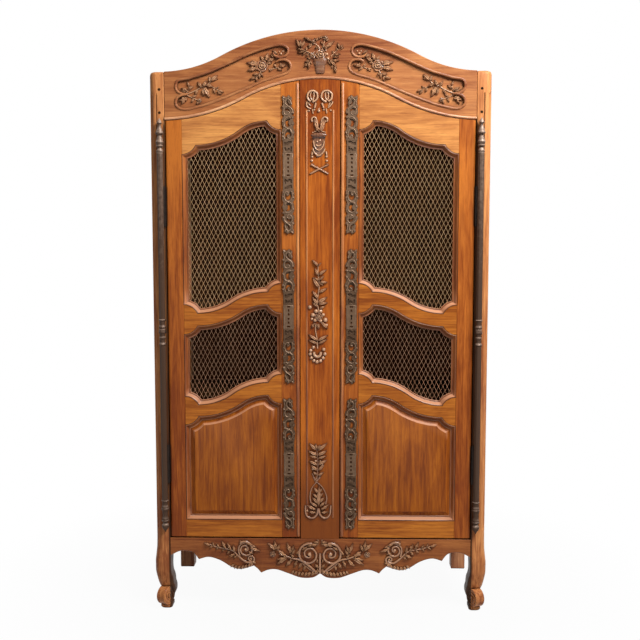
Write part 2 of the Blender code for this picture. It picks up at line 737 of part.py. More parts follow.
def boards():
    """Top, floor, shelves and the cleats of the lower shelf."""
    front_corner = (POST_INNER - FIT, POST_BACK + FIT)
    rear_corner = (REAR_INNER - FIT, REAR_FRONT - FIT)
    panel_front = BACK_MIDDLE - PANEL_THICK / 2 - FIT
    half = SIDE_INNER - FIT
    top = notched(FACE + CORNICE_THICK + FIT, BACK_RAIL_OUTER, SIDE_OUTER, front_corner, rear_corner)
    dress(lying("top_boards", [top], RAIL_TOP + FIT, TOP_THICK), INNER_WOOD)
    floor_front = FACE + DOOR_THICK + DOOR_GAP
    floor = notched(floor_front, panel_front, half, front_corner, rear_corner)
    dress(lying("bottom_boards", [floor], APRON_TOP + FIT, FLOOR_THICK), INNER_WOOD)
    shelf = notched(POST_BACK + SHELF_SET_BACK, panel_front, half, None, rear_corner)
    dress(lying("shelf_upper", [shelf], SHELF_UPPER_Z + FIT, SHELF_THICK), INNER_WOOD)
    dress(lying("shelf_lower", [shelf], SHELF_LOWER_Z + FIT, SHELF_THICK), INNER_WOOD)
    for side, hand in SIDES:
        corners = span(hand, half - CLEAT, half, POST_BACK + FIT, REAR_FRONT - FIT,
                       SHELF_LOWER_Z - CLEAT, SHELF_LOWER_Z)
        cleat = box("shelf_cleat_" + side, *corners)
        bevel = cleat.modifiers.new("softened_edges", "BEVEL")
        bevel.width = POST_EDGE
        bevel.segments = 1
        dress(cleat, INNER_WOOD)


def shaped_edge(heights, wood):
    """Serpentine edge of a door rail, from the hinge side to the lock side.

    Round ears of wood at both ends meet an S curve at two cusps.
    wood is 1 where the rail lies above the edge and -1 where it lies below.
    """
    hinge_z, lock_z = heights
    sweep = [EAR_SWEEP * step / EAR_STEPS for step in range(EAR_STEPS + 1)]
    hinge_ear = [(OPENING_OUTER - EAR * math.sin(turn), hinge_z + wood * EAR * (1 - math.cos(turn)))
                 for turn in sweep]
    lock_ear = [(OPENING_INNER + EAR * math.sin(turn), lock_z + wood * EAR * (1 - math.cos(turn)))
                for turn in reversed(sweep)]
    return hinge_ear + ogee(hinge_ear[-1], lock_ear[0], EVEN)[1:-1] + lock_ear


def opening(top, bottom):
    """Outline of a door opening along the outer line of its moulding."""
    if isinstance(bottom, tuple):
        low = shaped_edge(bottom, -1)
    else:
        low = [(OPENING_OUTER, bottom), (OPENING_INNER, bottom)]
    return shaped_edge(top, 1) + low[::-1]


def sections(loop, profile, hand):
    """Rings for a loft: the outline inset and set back by each step of a profile."""
    rings = []
    for margin, depth in profile:
        rings.append([(hand * across, FACE + depth, height) for across, height in inset(loop, margin)])
    return rings


def moulding_profile():
    """The moulding's steps as inset and depth, starting in front of the door's face."""
    steps = [(0.0, -DOOR_GAP)]
    steps += [(min(margin, MOULDING), depth) for margin, depth in MOULDING_CURVE]
    return steps


def grille_opening(name, loop, hand):
    lap = MOULDING - REBATE_LAP
    profile = moulding_profile() + [(MOULDING, REBATE_DEPTH), (lap, REBATE_DEPTH),
                                    (lap, DOOR_THICK + DOOR_GAP)]
    return loft(name, sections(loop, profile, hand), as_cutter=True)


def panel_opening(name, loop, hand):
    lap = MOULDING - REBATE_LAP
    rear = GROOVE_FRONT + GROOVE_WIDE
    profile = moulding_profile() + [(MOULDING, GROOVE_FRONT), (lap, GROOVE_FRONT), (lap, rear),
                                    (MOULDING, rear), (MOULDING, DOOR_THICK + DOOR_GAP)]
    return loft(name, sections(loop, profile, hand), as_cutter=True)


def door_panel(name, loop, hand):
    """Raised and fielded panel, held by a tongue in the frame's groove."""
    lap = MOULDING - REBATE_LAP + FIT
    tongue = GROOVE_FRONT + FIT
    rear = GROOVE_FRONT + GROOVE_WIDE - FIT
    slope = FIELD_MARGIN - MOULDING
    profile = ((lap, rear), (lap, tongue), (MOULDING + slope / 4, tongue - FIT),
               (FIELD_MARGIN - slope / 8, tongue / 2), (FIELD_MARGIN, FIELD_SET_BACK))
    return dress(loft(name, sections(loop, profile, hand)), WALNUT)


def grille(name, loop, hand):
    """A flat net of diamonds with a rim that lies in the frame's rebate."""
    front = FACE + REBATE_DEPTH + FIT
    rim = [(hand * across, height) for across, height in inset(loop, MOULDING - REBATE_LAP + FIT)]
    clear = [(hand * across, height) for across, height in inset(loop, MOULDING)]
    net = upright(name, [rim], front, GRILLE_THICK)
    slant = math.atan2(DIAMOND_TALL, DIAMOND_WIDE)
    half_wide = (DIAMOND_WIDE - GRILLE_WIRE / math.sin(slant)) / 2
    half_tall = (DIAMOND_TALL - GRILLE_WIRE / math.cos(slant)) / 2
    middle_x = (min(x for x, z in clear) + max(x for x, z in clear)) / 2
    middle_z = (min(z for x, z in clear) + max(z for x, z in clear)) / 2
    rows = math.ceil((max(z for x, z in clear) - middle_z) / DIAMOND_TALL) * 2
    columns = math.ceil((max(x for x, z in clear) - middle_x) / DIAMOND_WIDE)
    holes = []
    for row in range(-rows, rows + 1):
        for column in range(-columns, columns + 1):
            x = middle_x + (column + row % 2 / 2) * DIAMOND_WIDE
            z = middle_z + row * DIAMOND_TALL / 2
            if inside(clear, x, z):
                holes.append([(x - half_wide, z), (x, z - half_tall),
                              (x + half_wide, z), (x, z + half_tall)])
    diamonds = upright(name + "_diamonds", holes, front - GRILLE_THICK, 3 * GRILLE_THICK, as_cutter=True)
    window = upright(name + "_window", [clear], front - 2 * GRILLE_THICK, 5 * GRILLE_THICK, as_cutter=True)
    trim = diamonds.modifiers.new("trimmed_to_opening", "BOOLEAN")
    trim.operation = "INTERSECT"
    trim.object = window
    return dress(cut(net, diamonds), WIRE)


def plate_pitch():
    """Height of the lock stile that each of the plates takes."""
    stile_top = crown_height(OPENING_INNER) - CORNICE_HEIGHT - DOOR_GAP
    return (stile_top - PLATE_HEAD - DOOR_BOTTOM - PLATE_FOOT) / len(PLATES)


def plate_height(word):
    """Middle of a plate."""
    return DOOR_BOTTOM + PLATE_FOOT + plate_pitch() * (PLATES.index(word) + EVEN)


def escutcheon(name, hand, middle_z):
    """Long pierced iron plate: a solid box, a pierced block, rings and a leaf tip each way."""
    lobe_start = PLATE_BOX + PLATE_BLOCK + 2 * PLATE_NECK
    half_long = (plate_pitch() - PLATE_GAP) / 2
    lobe_long = (half_long - lobe_start - PLATE_TIP) / PLATE_LOBES
    quarter = [(PLATE_HALF, PLATE_BOX), (PLATE_NECK_HALF, PLATE_BOX + PLATE_NECK / 2),
               (PLATE_BLOCK_HALF, PLATE_BOX + PLATE_NECK),
               (PLATE_BLOCK_HALF, PLATE_BOX + PLATE_NECK + PLATE_BLOCK)]
    for lobe in range(PLATE_LOBES):
        start = lobe_start + lobe * lobe_long
        quarter.append((PLATE_NECK_HALF, start))
        for share, wide in PLATE_LOBE_CURVE:
            quarter.append((PLATE_LOBE_HALF * wide, start + lobe_long * share))
    tip = half_long - PLATE_TIP
    quarter += [(PLATE_NECK_HALF, tip), (PLATE_TIP_HALF, tip + PLATE_TIP / 3), (0.0, half_long)]
    right = [(across, -up) for across, up in reversed(quarter)] + quarter
    loop = right + [(-across, up) for across, up in reversed(right[1:-1])]
    block = PLATE_BOX + PLATE_NECK + PLATE_BLOCK / 2
    hole = PLATE_BLOCK_HALF * PLATE_HOLE_SHARE
    wide = PLATE_LOBE_HALF * PLATE_HOLE_SHARE
    tall = lobe_long / 2 * PLATE_HOLE_SHARE
    holes = []
    for way in (-1, 1):
        holes.append([(-hole, way * block), (0.0, way * block - hole),
                      (hole, way * block), (0.0, way * block + hole)])
        for lobe in range(PLATE_LOBES):
            middle = lobe_start + (lobe + EVEN) * lobe_long
            turns = [step * math.pi / 3 for step in range(6)]
            holes.append([(wide * math.cos(turn), way * middle + tall * math.sin(turn)) for turn in turns])
    centre = hand * (DOOR_INNER + LOCK_STILE - TRIM - PLATE_HALF)
    loops = [[(centre + across, middle_z + up) for across, up in outline] for outline in (loop, *holes)]
    return dress(upright(name, loops, FACE - FIT - PLATE_THICK, PLATE_THICK), IRON)


def door(side, hand):
    """One framed door; everything on it hangs on an empty on the hinge axis."""
    upper = opening(UPPER_TOP, UPPER_BOTTOM)
    lower = opening(LOWER_TOP, LOWER_BOTTOM)
    field = opening(PANEL_TOP, PANEL_BOTTOM)
    upper_cut = grille_opening("upper_opening_" + side, upper, hand)
    lower_cut = grille_opening("lower_opening_" + side, lower, hand)
    panel_cut = panel_opening("panel_opening_" + side, field, hand)

    def member(word, near, far, low, high):
        top = [(far, high), (near, high)] if high else under_cornice(near, far, DOOR_GAP)
        loop = [(near, low), (far, low), *top]
        loop = [(hand * across, height) for across, height in loop]
        return upright("door_%s_%s" % (side, word), [loop], FACE, DOOR_THICK)

    spare = MOULDING + TRIM
    stiles = {}
    for word, near, far in (("hinge_stile", STILE_EDGE_OUTER, DOOR_OUTER),
                            ("lock_stile", DOOR_INNER, STILE_EDGE_INNER)):
        stiles[word] = member(word, near, far, DOOR_BOTTOM, None)
    inner_end = STILE_EDGE_INNER + FIT
    outer_end = STILE_EDGE_OUTER - FIT
    rails = (
        ("top_rail", UPPER_TOP[0] - spare, None, (upper_cut,), UPPER_TOP,
         [crown_height(edge) - CORNICE_HEIGHT - DOOR_GAP for edge in (OPENING_OUTER, OPENING_INNER)]),
        ("upper_mid_rail", LOWER_TOP[0] - spare, UPPER_BOTTOM[1] + spare, (upper_cut, lower_cut),
         LOWER_TOP, UPPER_BOTTOM),
        ("lower_mid_rail", PANEL_TOP[0] - spare, LOWER_BOTTOM[1] + spare, (lower_cut, panel_cut),
         PANEL_TOP, LOWER_BOTTOM),
        ("bottom_rail", DOOR_BOTTOM, PANEL_BOTTOM + spare, (panel_cut,),
         (DOOR_BOTTOM, DOOR_BOTTOM), (PANEL_BOTTOM, PANEL_BOTTOM)),
    )
    pieces = []
    middle = FACE + DOOR_THICK / 2
    for word, low, high, cutters, below, above in rails:
        rail = member(word, inner_end, outer_end, low, high)
        ends = (("hinge_stile", STILE_EDGE_OUTER, 0), ("lock_stile", STILE_EDGE_INNER, 1))
        for stile, edge, which in ends:
            corners = span(hand, edge - TENON_LONG, edge + TENON_LONG,
                           middle - TENON_THICK / 2, middle + TENON_THICK / 2,
                           below[which] + TENON_SHOULDER, above[which] - TENON_SHOULDER)
            tenon("%s_%s" % (rail.name, stile), corners, rail, stiles[stile])
        pieces.append(dress(cut(rail, *cutters), WALNUT))
    for stile in stiles.values():
        pieces.append(dress(cut(stile, upper_cut, lower_cut, panel_cut), WALNUT))
    pieces.append(door_panel("door_%s_panel" % side, field, hand))
    pieces.append(grille("door_%s_upper_grille" % side, upper, hand))
    pieces.append(grille("door_%s_lower_grille" % side, lower, hand))
    for word in PLATES:
        pieces.append(escutcheon("door_%s_escutcheon_%s" % (side, word), hand, plate_height(word)))
    pieces.append(hinge_barrel(side, hand, stiles["hinge_stile"]))
    if side == "right":
        pieces += lock()
    pivot = pivot_at("door_%s_pivot" % side, (hand * HINGE_X, HINGE_Y, 0.0))
    hang_on(pivot, *pieces)


def hinge_barrel(side, hand, stile):
    """Full-height barrel that turns on two pins, with two cranked leaves let into the stile."""
    bore = PIN_RADIUS / math.cos(math.pi / TURN_STEPS) + PIN_SLACK
    deep = PIN_LONG + PIN_SLACK
    profile = [(0.0, BARREL_TOP - deep), (bore, BARREL_TOP - deep), (bore, BARREL_TOP),
               (BARREL_RADIUS, BARREL_TOP)]
    for offset, radius in COLLARS:
        height = COLLAR_MIDDLE + offset
        profile += [(BARREL_RADIUS, height + COLLAR_HALF), (radius, height + COLLAR_HALF / 2),
                    (radius, height - COLLAR_HALF / 2), (BARREL_RADIUS, height - COLLAR_HALF)]
    profile += [(BARREL_RADIUS, BARREL_BOTTOM), (bore, BARREL_BOTTOM), (bore, BARREL_BOTTOM + deep),
                (0.0, BARREL_BOTTOM + deep)]
    barrel = turned("hinge_barrel_" + side, profile, (hand * HINGE_X, HINGE_Y, 0.0))
    near = DOOR_OUTER - LEAF_THICK / 2
    far = DOOR_OUTER + LEAF_THICK / 2
    into = HINGE_X - BARREL_RADIUS / 2
    plan = [(into, HINGE_Y - LEAF_THICK / 2), (near, HINGE_Y - LEAF_THICK / 2), (near, FACE + LEAF_DEEP),
            (far, FACE + LEAF_DEEP), (far, HINGE_Y + LEAF_THICK / 2), (into, HINGE_Y + LEAF_THICK / 2)]
    plan = [(hand * across, along) for across, along in plan]
    for number, height in enumerate(LEAF_HEIGHTS):
        low = height - LEAF_LONG / 2
        leaf = lying("leaf_%s_%d" % (side, number), [plan], low, LEAF_LONG, as_cutter=True)
        fuse(barrel, leaf)
        seat = span(hand, near, far, FACE - DOOR_GAP, FACE + LEAF_DEEP, low, low + LEAF_LONG)
        cut(stile, box("leaf_seat_%s_%d" % (side, number), *grown(seat, FIT), as_cutter=True))
    return dress(barrel, IRON)


def knuckles(side, hand, post):
    """Fixed knuckles at both ends of a barrel: a finial, a pin and a leaf driven into the post."""
    for word, end, way in (("upper", BARREL_TOP, 1), ("lower", BARREL_BOTTOM, -1)):
        start = end + way * FIT
        profile = [(0.0, end + way * FINIAL_TIP)]
        profile += [(radius, end + way * height) for radius, height in reversed(FINIAL)]
        profile += [(BARREL_RADIUS, start), (PIN_RADIUS, start), (PIN_RADIUS, end - way * PIN_LONG),
                    (0.0, end - way * PIN_LONG)]
        if way < 0:
            profile.reverse()
        knuckle = turned("hinge_%s_knuckle_%s" % (word, side), profile, (hand * HINGE_X, HINGE_Y, 0.0))
        leaf_z = sorted((start + way * LEAF_THICK, start + way * KNUCKLE_LEAF))
        near = HINGE_X - LEAF_THICK / 2
        far = HINGE_X + LEAF_THICK / 2
        corners = span(hand, near, far, HINGE_Y, FACE + LEAF_DEEP, *leaf_z)
        leaf = box("knuckle_leaf_%s_%s" % (word, side), *corners, as_cutter=True)
        fuse(knuckle, leaf)
        slot = span(hand, near, far, FACE - DOOR_GAP, FACE + LEAF_DEEP, *leaf_z)
        cut(post, box("knuckle_slot_%s_%s" % (word, side), *grown(slot, FIT), as_cutter=True))
        dress(knuckle, IRON)


def lock():
    """Rim lock on the back of the right door; its bolt slides behind the centre post."""
    door_back = FACE + DOOR_THICK
    middle = plate_height("middle")
    case = box("lock_case", (LOCK_EDGE, door_back + FIT, middle - LOCK_TALL / 2),
               (LOCK_EDGE + LOCK_WIDE, door_back + FIT + LOCK_DEEP, middle + LOCK_TALL / 2))
    bolt_low = (LOCK_EDGE, door_back + BOLT_FRONT, middle - BOLT_TALL / 2)
    bolt_high = (LOCK_EDGE + BOLT_LONG, door_back + BOLT_FRONT + BOLT_THICK, middle + BOLT_TALL / 2)
    bolt = box("lock_bolt", bolt_low, bolt_high)
    channel_low = (LOCK_EDGE - DOOR_GAP, bolt_low[1], bolt_low[2])
    cut(case, box("bolt_channel", *grown((channel_low, bolt_high), FIT), as_cutter=True))
    for piece in (case, bolt):
        bevel = piece.modifiers.new("softened_edges", "BEVEL")
        bevel.width = FIT
        bevel.segments = 1
    return [dress(case, IRON), dress(bolt, IRON)]


def turn_button(post):
    """Button that hangs on the back of the centre post; turned level, it holds the left door."""
    face = FACE + CENTRE_THICK + FIT
    half = BUTTON_WIDE / 2
    arc = [(half * math.cos(step * math.pi / 4), half * math.sin(step * math.pi / 4)) for step in range(5)]
    loop = [(across, up) for across, up in arc]
    loop += [(-across, half - BUTTON_LONG - up) for across, up in arc]
    loop = [(BUTTON_X + across, BUTTON_Z + up) for across, up in loop]
    button = upright("turn_button", [loop], face, BUTTON_THICK)
    sides = 8
    for name, radius, start in (("button_pin", BUTTON_PIN, face - FIT - BUTTON_PIN_LONG),
                                ("button_hole", BUTTON_PIN / math.cos(math.pi / sides) + FIT,
                                 face - 2 * FIT - BUTTON_PIN_LONG)):
        long = BUTTON_PIN_LONG + BUTTON_THICK / 2
        bpy.ops.mesh.primitive_cylinder_add(vertices=sides, radius=radius, depth=long)
        tool = bpy.context.object
        tool.name = name
        tool.rotation_euler = (math.pi / 2, 0.0, 0.0)
        tool.location = (BUTTON_X, start + long / 2, BUTTON_Z)
        as_tool(tool)
        if name == "button_pin":
            fuse(button, tool)
        else:
            cut(post, tool)
    dress(button, WALNUT)
    hang_on(pivot_at("turn_button_pivot", (BUTTON_X, face, BUTTON_Z)), button)


for old in list(bpy.data.objects):
    bpy.data.objects.remove(old, do_unlink=True)
PARTS = collection("bookcase_cabinet")
CUTTERS = collection("cutters")

front_posts = {side: front_post(side, hand) for side, hand in SIDES}
back_posts = {side: rear_post(side, hand) for side, hand in SIDES}
top_rail = cornice(front_posts)
low_rail = apron(front_posts)
middle_post = centre_post(top_rail, low_rail)
side_frames(front_posts, back_posts)
back_frame(back_posts)
boards()
for door_side, door_hand in SIDES:
    door(door_side, door_hand)
    knuckles(door_side, door_hand, front_posts[door_side])
turn_button(middle_post)
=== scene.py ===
# %% [markdown]
# # A bookcase cabinet with wire doors
# The real piece is a tall walnut cabinet in the French provincial manner. Its front is what everyone looks at:
# an arched and carved cornice, two framed doors with wire grilles, a carved post between them and a scalloped apron.
# This lesson dresses a finished model of the joinery. The model is loaded first and stays where it is. Every new
# piece is drawn in the same metres, so that it sits where the joinery says.

# %% Load the joinery
import math

import bpy
from mathutils import Matrix, Vector
from mathutils.geometry import intersect_line_line_2d


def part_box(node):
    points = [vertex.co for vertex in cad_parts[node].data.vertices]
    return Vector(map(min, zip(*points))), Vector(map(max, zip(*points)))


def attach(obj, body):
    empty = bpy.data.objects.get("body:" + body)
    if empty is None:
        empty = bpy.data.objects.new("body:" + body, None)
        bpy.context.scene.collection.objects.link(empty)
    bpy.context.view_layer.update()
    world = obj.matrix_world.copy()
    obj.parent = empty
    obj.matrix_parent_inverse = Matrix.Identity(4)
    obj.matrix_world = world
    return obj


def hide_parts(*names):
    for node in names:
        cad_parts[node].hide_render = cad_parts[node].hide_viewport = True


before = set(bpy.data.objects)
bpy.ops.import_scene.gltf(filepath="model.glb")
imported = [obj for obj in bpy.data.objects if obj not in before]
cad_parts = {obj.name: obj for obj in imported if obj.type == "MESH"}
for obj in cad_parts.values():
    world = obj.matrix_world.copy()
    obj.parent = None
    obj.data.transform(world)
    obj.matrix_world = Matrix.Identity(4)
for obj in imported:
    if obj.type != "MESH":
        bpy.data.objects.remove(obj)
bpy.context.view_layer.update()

# %% [markdown]
# ## Working tools
# Blender's operators act on whatever is selected, so each one here starts by putting everything down and taking up
# a single piece. A modifier can stay live or be applied. Applied is better for a part that others will measure,
# because its mesh is then exactly what is seen.

# %% One piece at a time
SIDES = (("left", -1), ("right", 1))
MM = 0.001
SHARP_EDGE = math.radians(40)
WELD = 0.00001
print("sides", [side for side, hand in SIDES])


def put_down():
    """Leave edit mode and deselect everything."""
    active = bpy.context.view_layer.objects.active
    if active and active.mode != "OBJECT":
        bpy.ops.object.mode_set(mode="OBJECT")
    bpy.ops.object.select_all(action="DESELECT")


def take(piece):
    """Select one piece alone."""
    put_down()
    piece.select_set(True)
    bpy.context.view_layer.objects.active = piece
    return piece


def work(piece, kind, **settings):
    """Give a piece a modifier, and apply it."""
    take(piece)
    step = piece.modifiers.new(kind.lower(), kind)
    for name, value in settings.items():
        setattr(step, name, value)
    bpy.ops.object.modifier_apply(modifier=step.name)
    return piece


def soften(piece, width):
    """Take the sharpness off the edges."""
    work(piece, "BEVEL", width=width, segments=1, limit_method="ANGLE", angle_limit=SHARP_EDGE)
    return shade(piece)


def shade(piece, angle=32):
    """Shade a piece smooth, except at edges sharper than an angle in degrees."""
    take(piece)
    bpy.ops.object.shade_smooth_by_angle(angle=math.radians(angle))
    return piece


# %% Joining and copying
def together(name, parts):
    """Join several objects into one."""
    take(parts[0])
    for part in parts:
        part.select_set(True)
    bpy.ops.object.join()
    parts[0].name = name
    return parts[0]


def copy_of(model, place):
    """A copy with its own mesh, moved to its place."""
    twin = model.copy()
    twin.data = model.data.copy()
    twin.data.transform(place)
    if place.determinant() < 0:
        twin.data.flip_normals()
    bpy.context.scene.collection.objects.link(twin)
    return twin


def scrap(*parts):
    """Throw away models and tools that have done their work."""
    for part in parts:
        bpy.data.objects.remove(part, do_unlink=True)


# %% Fitting a piece
def fit(piece, name, body, slot, *finishes, stands_for=()):
    """Name a finished piece, dress it and let it ride on its body."""
    piece.name = name
    piece.data.name = name
    piece.data.materials.clear()
    for finish in finishes:
        piece.data.materials.append(finish)
    if stands_for:
        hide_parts(*stands_for)
    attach(piece, body)
    return piece


# %% [markdown]
# ## Flat boards and lofted forms
# A board with a curved outline could be a filled curve. Here it is a circle primitive with as many corners as the
# drawing has points. Each corner is moved to its point, and the face is extruded to its thickness, which gives clean
# side walls. A lofted form, such as a leg, is a grid primitive whose rows are moved onto the sections.

# %% Boards
def open_up(piece):
    """Take a piece into edit mode with all of it selected."""
    take(piece)
    bpy.ops.object.mode_set(mode="EDIT")
    bpy.ops.mesh.select_all(action="SELECT")


def drawing(name, line, depth):
    """A flat face that looks to the front, from points across and up."""
    put_down()
    bpy.ops.mesh.primitive_circle_add(vertices=len(line), fill_type="NGON")
    piece = bpy.context.object
    piece.name = name
    for corner, (across, height) in zip(piece.data.vertices, line):
        corner.co = (across, depth, height)
    piece.data.update()
    if piece.data.polygons[0].normal.y > 0:
        piece.data.flip_normals()
    return piece


def board(name, line, front, back):
    """A flat board with that outline between two depths."""
    piece = drawing(name, line, front)
    open_up(piece)
    bpy.ops.mesh.extrude_region_move(TRANSFORM_OT_translate={"value": (0.0, back - front, 0.0)})
    return outwards(piece)


def outwards(piece):
    """Merge doubles and turn the faces outwards."""
    open_up(piece)
    bpy.ops.mesh.remove_doubles(threshold=WELD)
    bpy.ops.mesh.normals_make_consistent(inside=False)
    bpy.ops.object.mode_set(mode="OBJECT")
    return piece


# %% Lofted and turned forms
def lofted(name, rings):
    """A closed skin over sections with the same number of points."""
    put_down()
    across = len(rings[0])
    bpy.ops.mesh.primitive_grid_add(x_subdivisions=across, y_subdivisions=len(rings) - 1)
    piece = bpy.context.object
    piece.name = name
    corners = piece.data.vertices
    for row, ring in enumerate(rings):
        for column, point in enumerate([*ring, ring[0]]):
            corners[row * (across + 1) + column].co = point
    open_up(piece)
    bpy.ops.mesh.remove_doubles(threshold=WELD)
    bpy.ops.mesh.fill_holes(sides=0)
    return outwards(piece)


def block(name, low, high):
    """A block between two corners."""
    put_down()
    low, high = Vector(low), Vector(high)
    bpy.ops.mesh.primitive_cube_add(size=1.0)
    piece = bpy.context.object
    piece.name = name
    size = Matrix.Diagonal((*(high - low), 1.0))
    piece.data.transform(Matrix.Translation((low + high) / 2) @ size)
    return piece


def turned(name, profile, centre, steps=28):
    """A turned form from radius and height, standing on a vertical axis."""
    turns = [2 * math.pi * step / steps for step in range(steps)]
    rings = [[(centre[0] + radius * math.cos(turn), centre[1] + radius * math.sin(turn), height)
              for turn in turns] for radius, height in profile]
    return lofted(name, rings)


# %% Strips along lines
def cane(name, runs, fineness=2):
    """Round strips along lines; a run is its points, its thicknesses and whether it closes."""
    put_down()
    bpy.ops.curve.primitive_nurbs_path_add()
    guide = bpy.context.object
    guide.name = name
    lines = guide.data
    lines.splines.clear()
    lines.bevel_depth = 1.0
    lines.bevel_resolution = fineness
    lines.use_fill_caps = True
    for points, radii, closes in runs:
        spline = lines.splines.new("POLY")
        spline.points.add(len(points) - 1)
        spline.use_cyclic_u = closes
        for knot, point, radius in zip(spline.points, points, radii):
            knot.co = (*point, 1.0)
            knot.radius = radius
    bpy.ops.object.convert(target="MESH")
    return outwards(bpy.context.object)


# %% [markdown]
# ## The lines of the front
# The arch of the cornice and the shaped edges of the doors are S curves: two arcs that meet without a kink. One
# function draws all of them, so the cornice, the door tops and the mouldings stay parallel. Measures are in metres,
# from the middle and from the floor.

# %% Measures of the front
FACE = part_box("apron_rail")[0].y
POST_INNER = 0.626
POST_OUTER = 0.686
POST_BACK = FACE + 0.066
POST_TOP = 2.216
CROWN_RUN = 0.640
CROWN_RISE = 0.161
SHOULDER_SHARE = 0.38
FLAT_END = 0.2
CORNICE_HEIGHT = 0.192
CORNICE_THICK = 0.040
FIT = 0.0003
DOOR_GAP = 0.003
DOOR_THICK = 0.030
DOOR_OUTER = 0.623
DOOR_INNER = 0.083
DOOR_BOTTOM = 0.310
OPENING_OUTER = 0.558
OPENING_INNER = 0.156
JOINT_OUTER = 0.5565
JOINT_INNER = 0.1575
EAR = 0.062
EAR_SWEEP = math.radians(65)
UPPER_TOP, UPPER_BOTTOM = (1.890, 1.986), (1.280, 1.368)
LOWER_TOP, LOWER_BOTTOM = (1.160, 1.248), (0.901, 0.995)
PANEL_TOP, PANEL_BOTTOM = (0.784, 0.874), 0.382
TOP_SHARE, BOTTOM_SHARE = 0.6, 0.5
CROWN_STEPS, EDGE_STEPS = 26, 14
print("door width", round(DOOR_OUTER - DOOR_INNER, 3), "opening width", round(OPENING_OUTER - OPENING_INNER, 3))


# %% The arch
def s_curve(start, end, share, steps):
    """Two tangent arcs, level at both ends."""
    run, rise = end[0] - start[0], end[1] - start[1]
    bend = 2 * math.atan2(abs(rise), abs(run))
    radius = abs(run) / math.sin(bend)
    way, up = math.copysign(1, run), math.copysign(1, rise)
    turns = [bend * step / steps for step in range(steps + 1)]
    line = [(start[0] + way * share * radius * math.sin(turn),
             start[1] + up * share * radius * (1 - math.cos(turn))) for turn in turns]
    rest = 1 - share
    line += [(end[0] - way * rest * radius * math.sin(turn),
              end[1] - up * rest * radius * (1 - math.cos(turn))) for turn in reversed(turns[:-1])]
    return line


CROWN = s_curve((CROWN_RUN, POST_TOP), (0.0, POST_TOP + CROWN_RISE), SHOULDER_SHARE, CROWN_STEPS)


def arch(reach, drop, steps=80):
    """A line at the same distance under the arch all the way, from one side to the other."""
    line = [(CROWN_RUN + FLAT_END, POST_TOP - drop)]
    for (x1, z1), (x2, z2) in zip(CROWN, CROWN[1:]):
        slope = math.atan2(z2 - z1, x1 - x2)
        line.append(((x1 + x2) / 2 - drop * math.sin(slope), (z1 + z2) / 2 - drop * math.cos(slope)))
    line.append((0.0, CROWN[-1][1] - drop))
    points = []
    for step in range(steps + 1):
        across = reach * (2 * step / steps - 1)
        for (far, low), (near, high) in zip(line, line[1:]):
            if near <= abs(across) <= far:
                points.append((across, low + (high - low) * (far - abs(across)) / (far - near)))
                break
    return points


def under_arch(across, drop):
    """Height of such a line at a distance from the middle."""
    return arch(abs(across), drop, 1)[-1][1]


print("arch", round(CROWN[-1][1], 4), "under it", round(under_arch(0.0, CORNICE_HEIGHT), 4))


# %% Edges of the doors
def shaped_edge(heights, wood, steps=EDGE_STEPS):
    """Edge of a door rail from hinge to lock: a round ear, an S curve and another ear.

    Wood is 1 where the rail lies over the edge and -1 where it lies under it.
    """
    hinge_z, lock_z = heights
    sweep = [EAR_SWEEP * step / steps for step in range(steps + 1)]
    hinge_ear = [(OPENING_OUTER - EAR * math.sin(turn), hinge_z + wood * EAR * (1 - math.cos(turn)))
                 for turn in sweep]
    lock_ear = [(OPENING_INNER + EAR * math.sin(turn), lock_z + wood * EAR * (1 - math.cos(turn)))
                for turn in reversed(sweep)]
    share = TOP_SHARE if wood > 0 else BOTTOM_SHARE
    return hinge_ear + s_curve(hinge_ear[-1], lock_ear[0], share, EDGE_STEPS)[1:-1] + lock_ear


def opening(top, bottom, hand):
    """Outline of a door opening along the outer line of its moulding."""
    if isinstance(bottom, tuple):
        low = shaped_edge(bottom, -1)
    else:
        low = [(OPENING_OUTER, bottom), (OPENING_INNER, bottom)]
    return [(hand * across, height) for across, height in shaped_edge(top, 1) + low[::-1]]


def flowing(points, steps=8):
    """A smooth line through points."""
    ends = [points[0], *points, points[-1]]
    line = []
    for before, start, end, after in zip(ends, ends[1:], ends[2:], ends[3:]):
        for step in range(steps):
            part = step / steps
            line.append(tuple(
                0.5 * (2 * b + (c - a) * part + (2 * a - 5 * b + 4 * c - d) * part ** 2
                       + (3 * b - a - 3 * c + d) * part ** 3)
                for a, b, c, d in zip(before, start, end, after)))
    return line + [tuple(points[-1])]


print("opening points", len(opening(UPPER_TOP, UPPER_BOTTOM, 1)))

# %% [markdown]
# ## Shader maths as plain sums
# A material is a net of nodes. Wrapped in a small class, a socket can be added and multiplied like a number, and each
# sum puts in its own Math node. Every other node comes from one method.

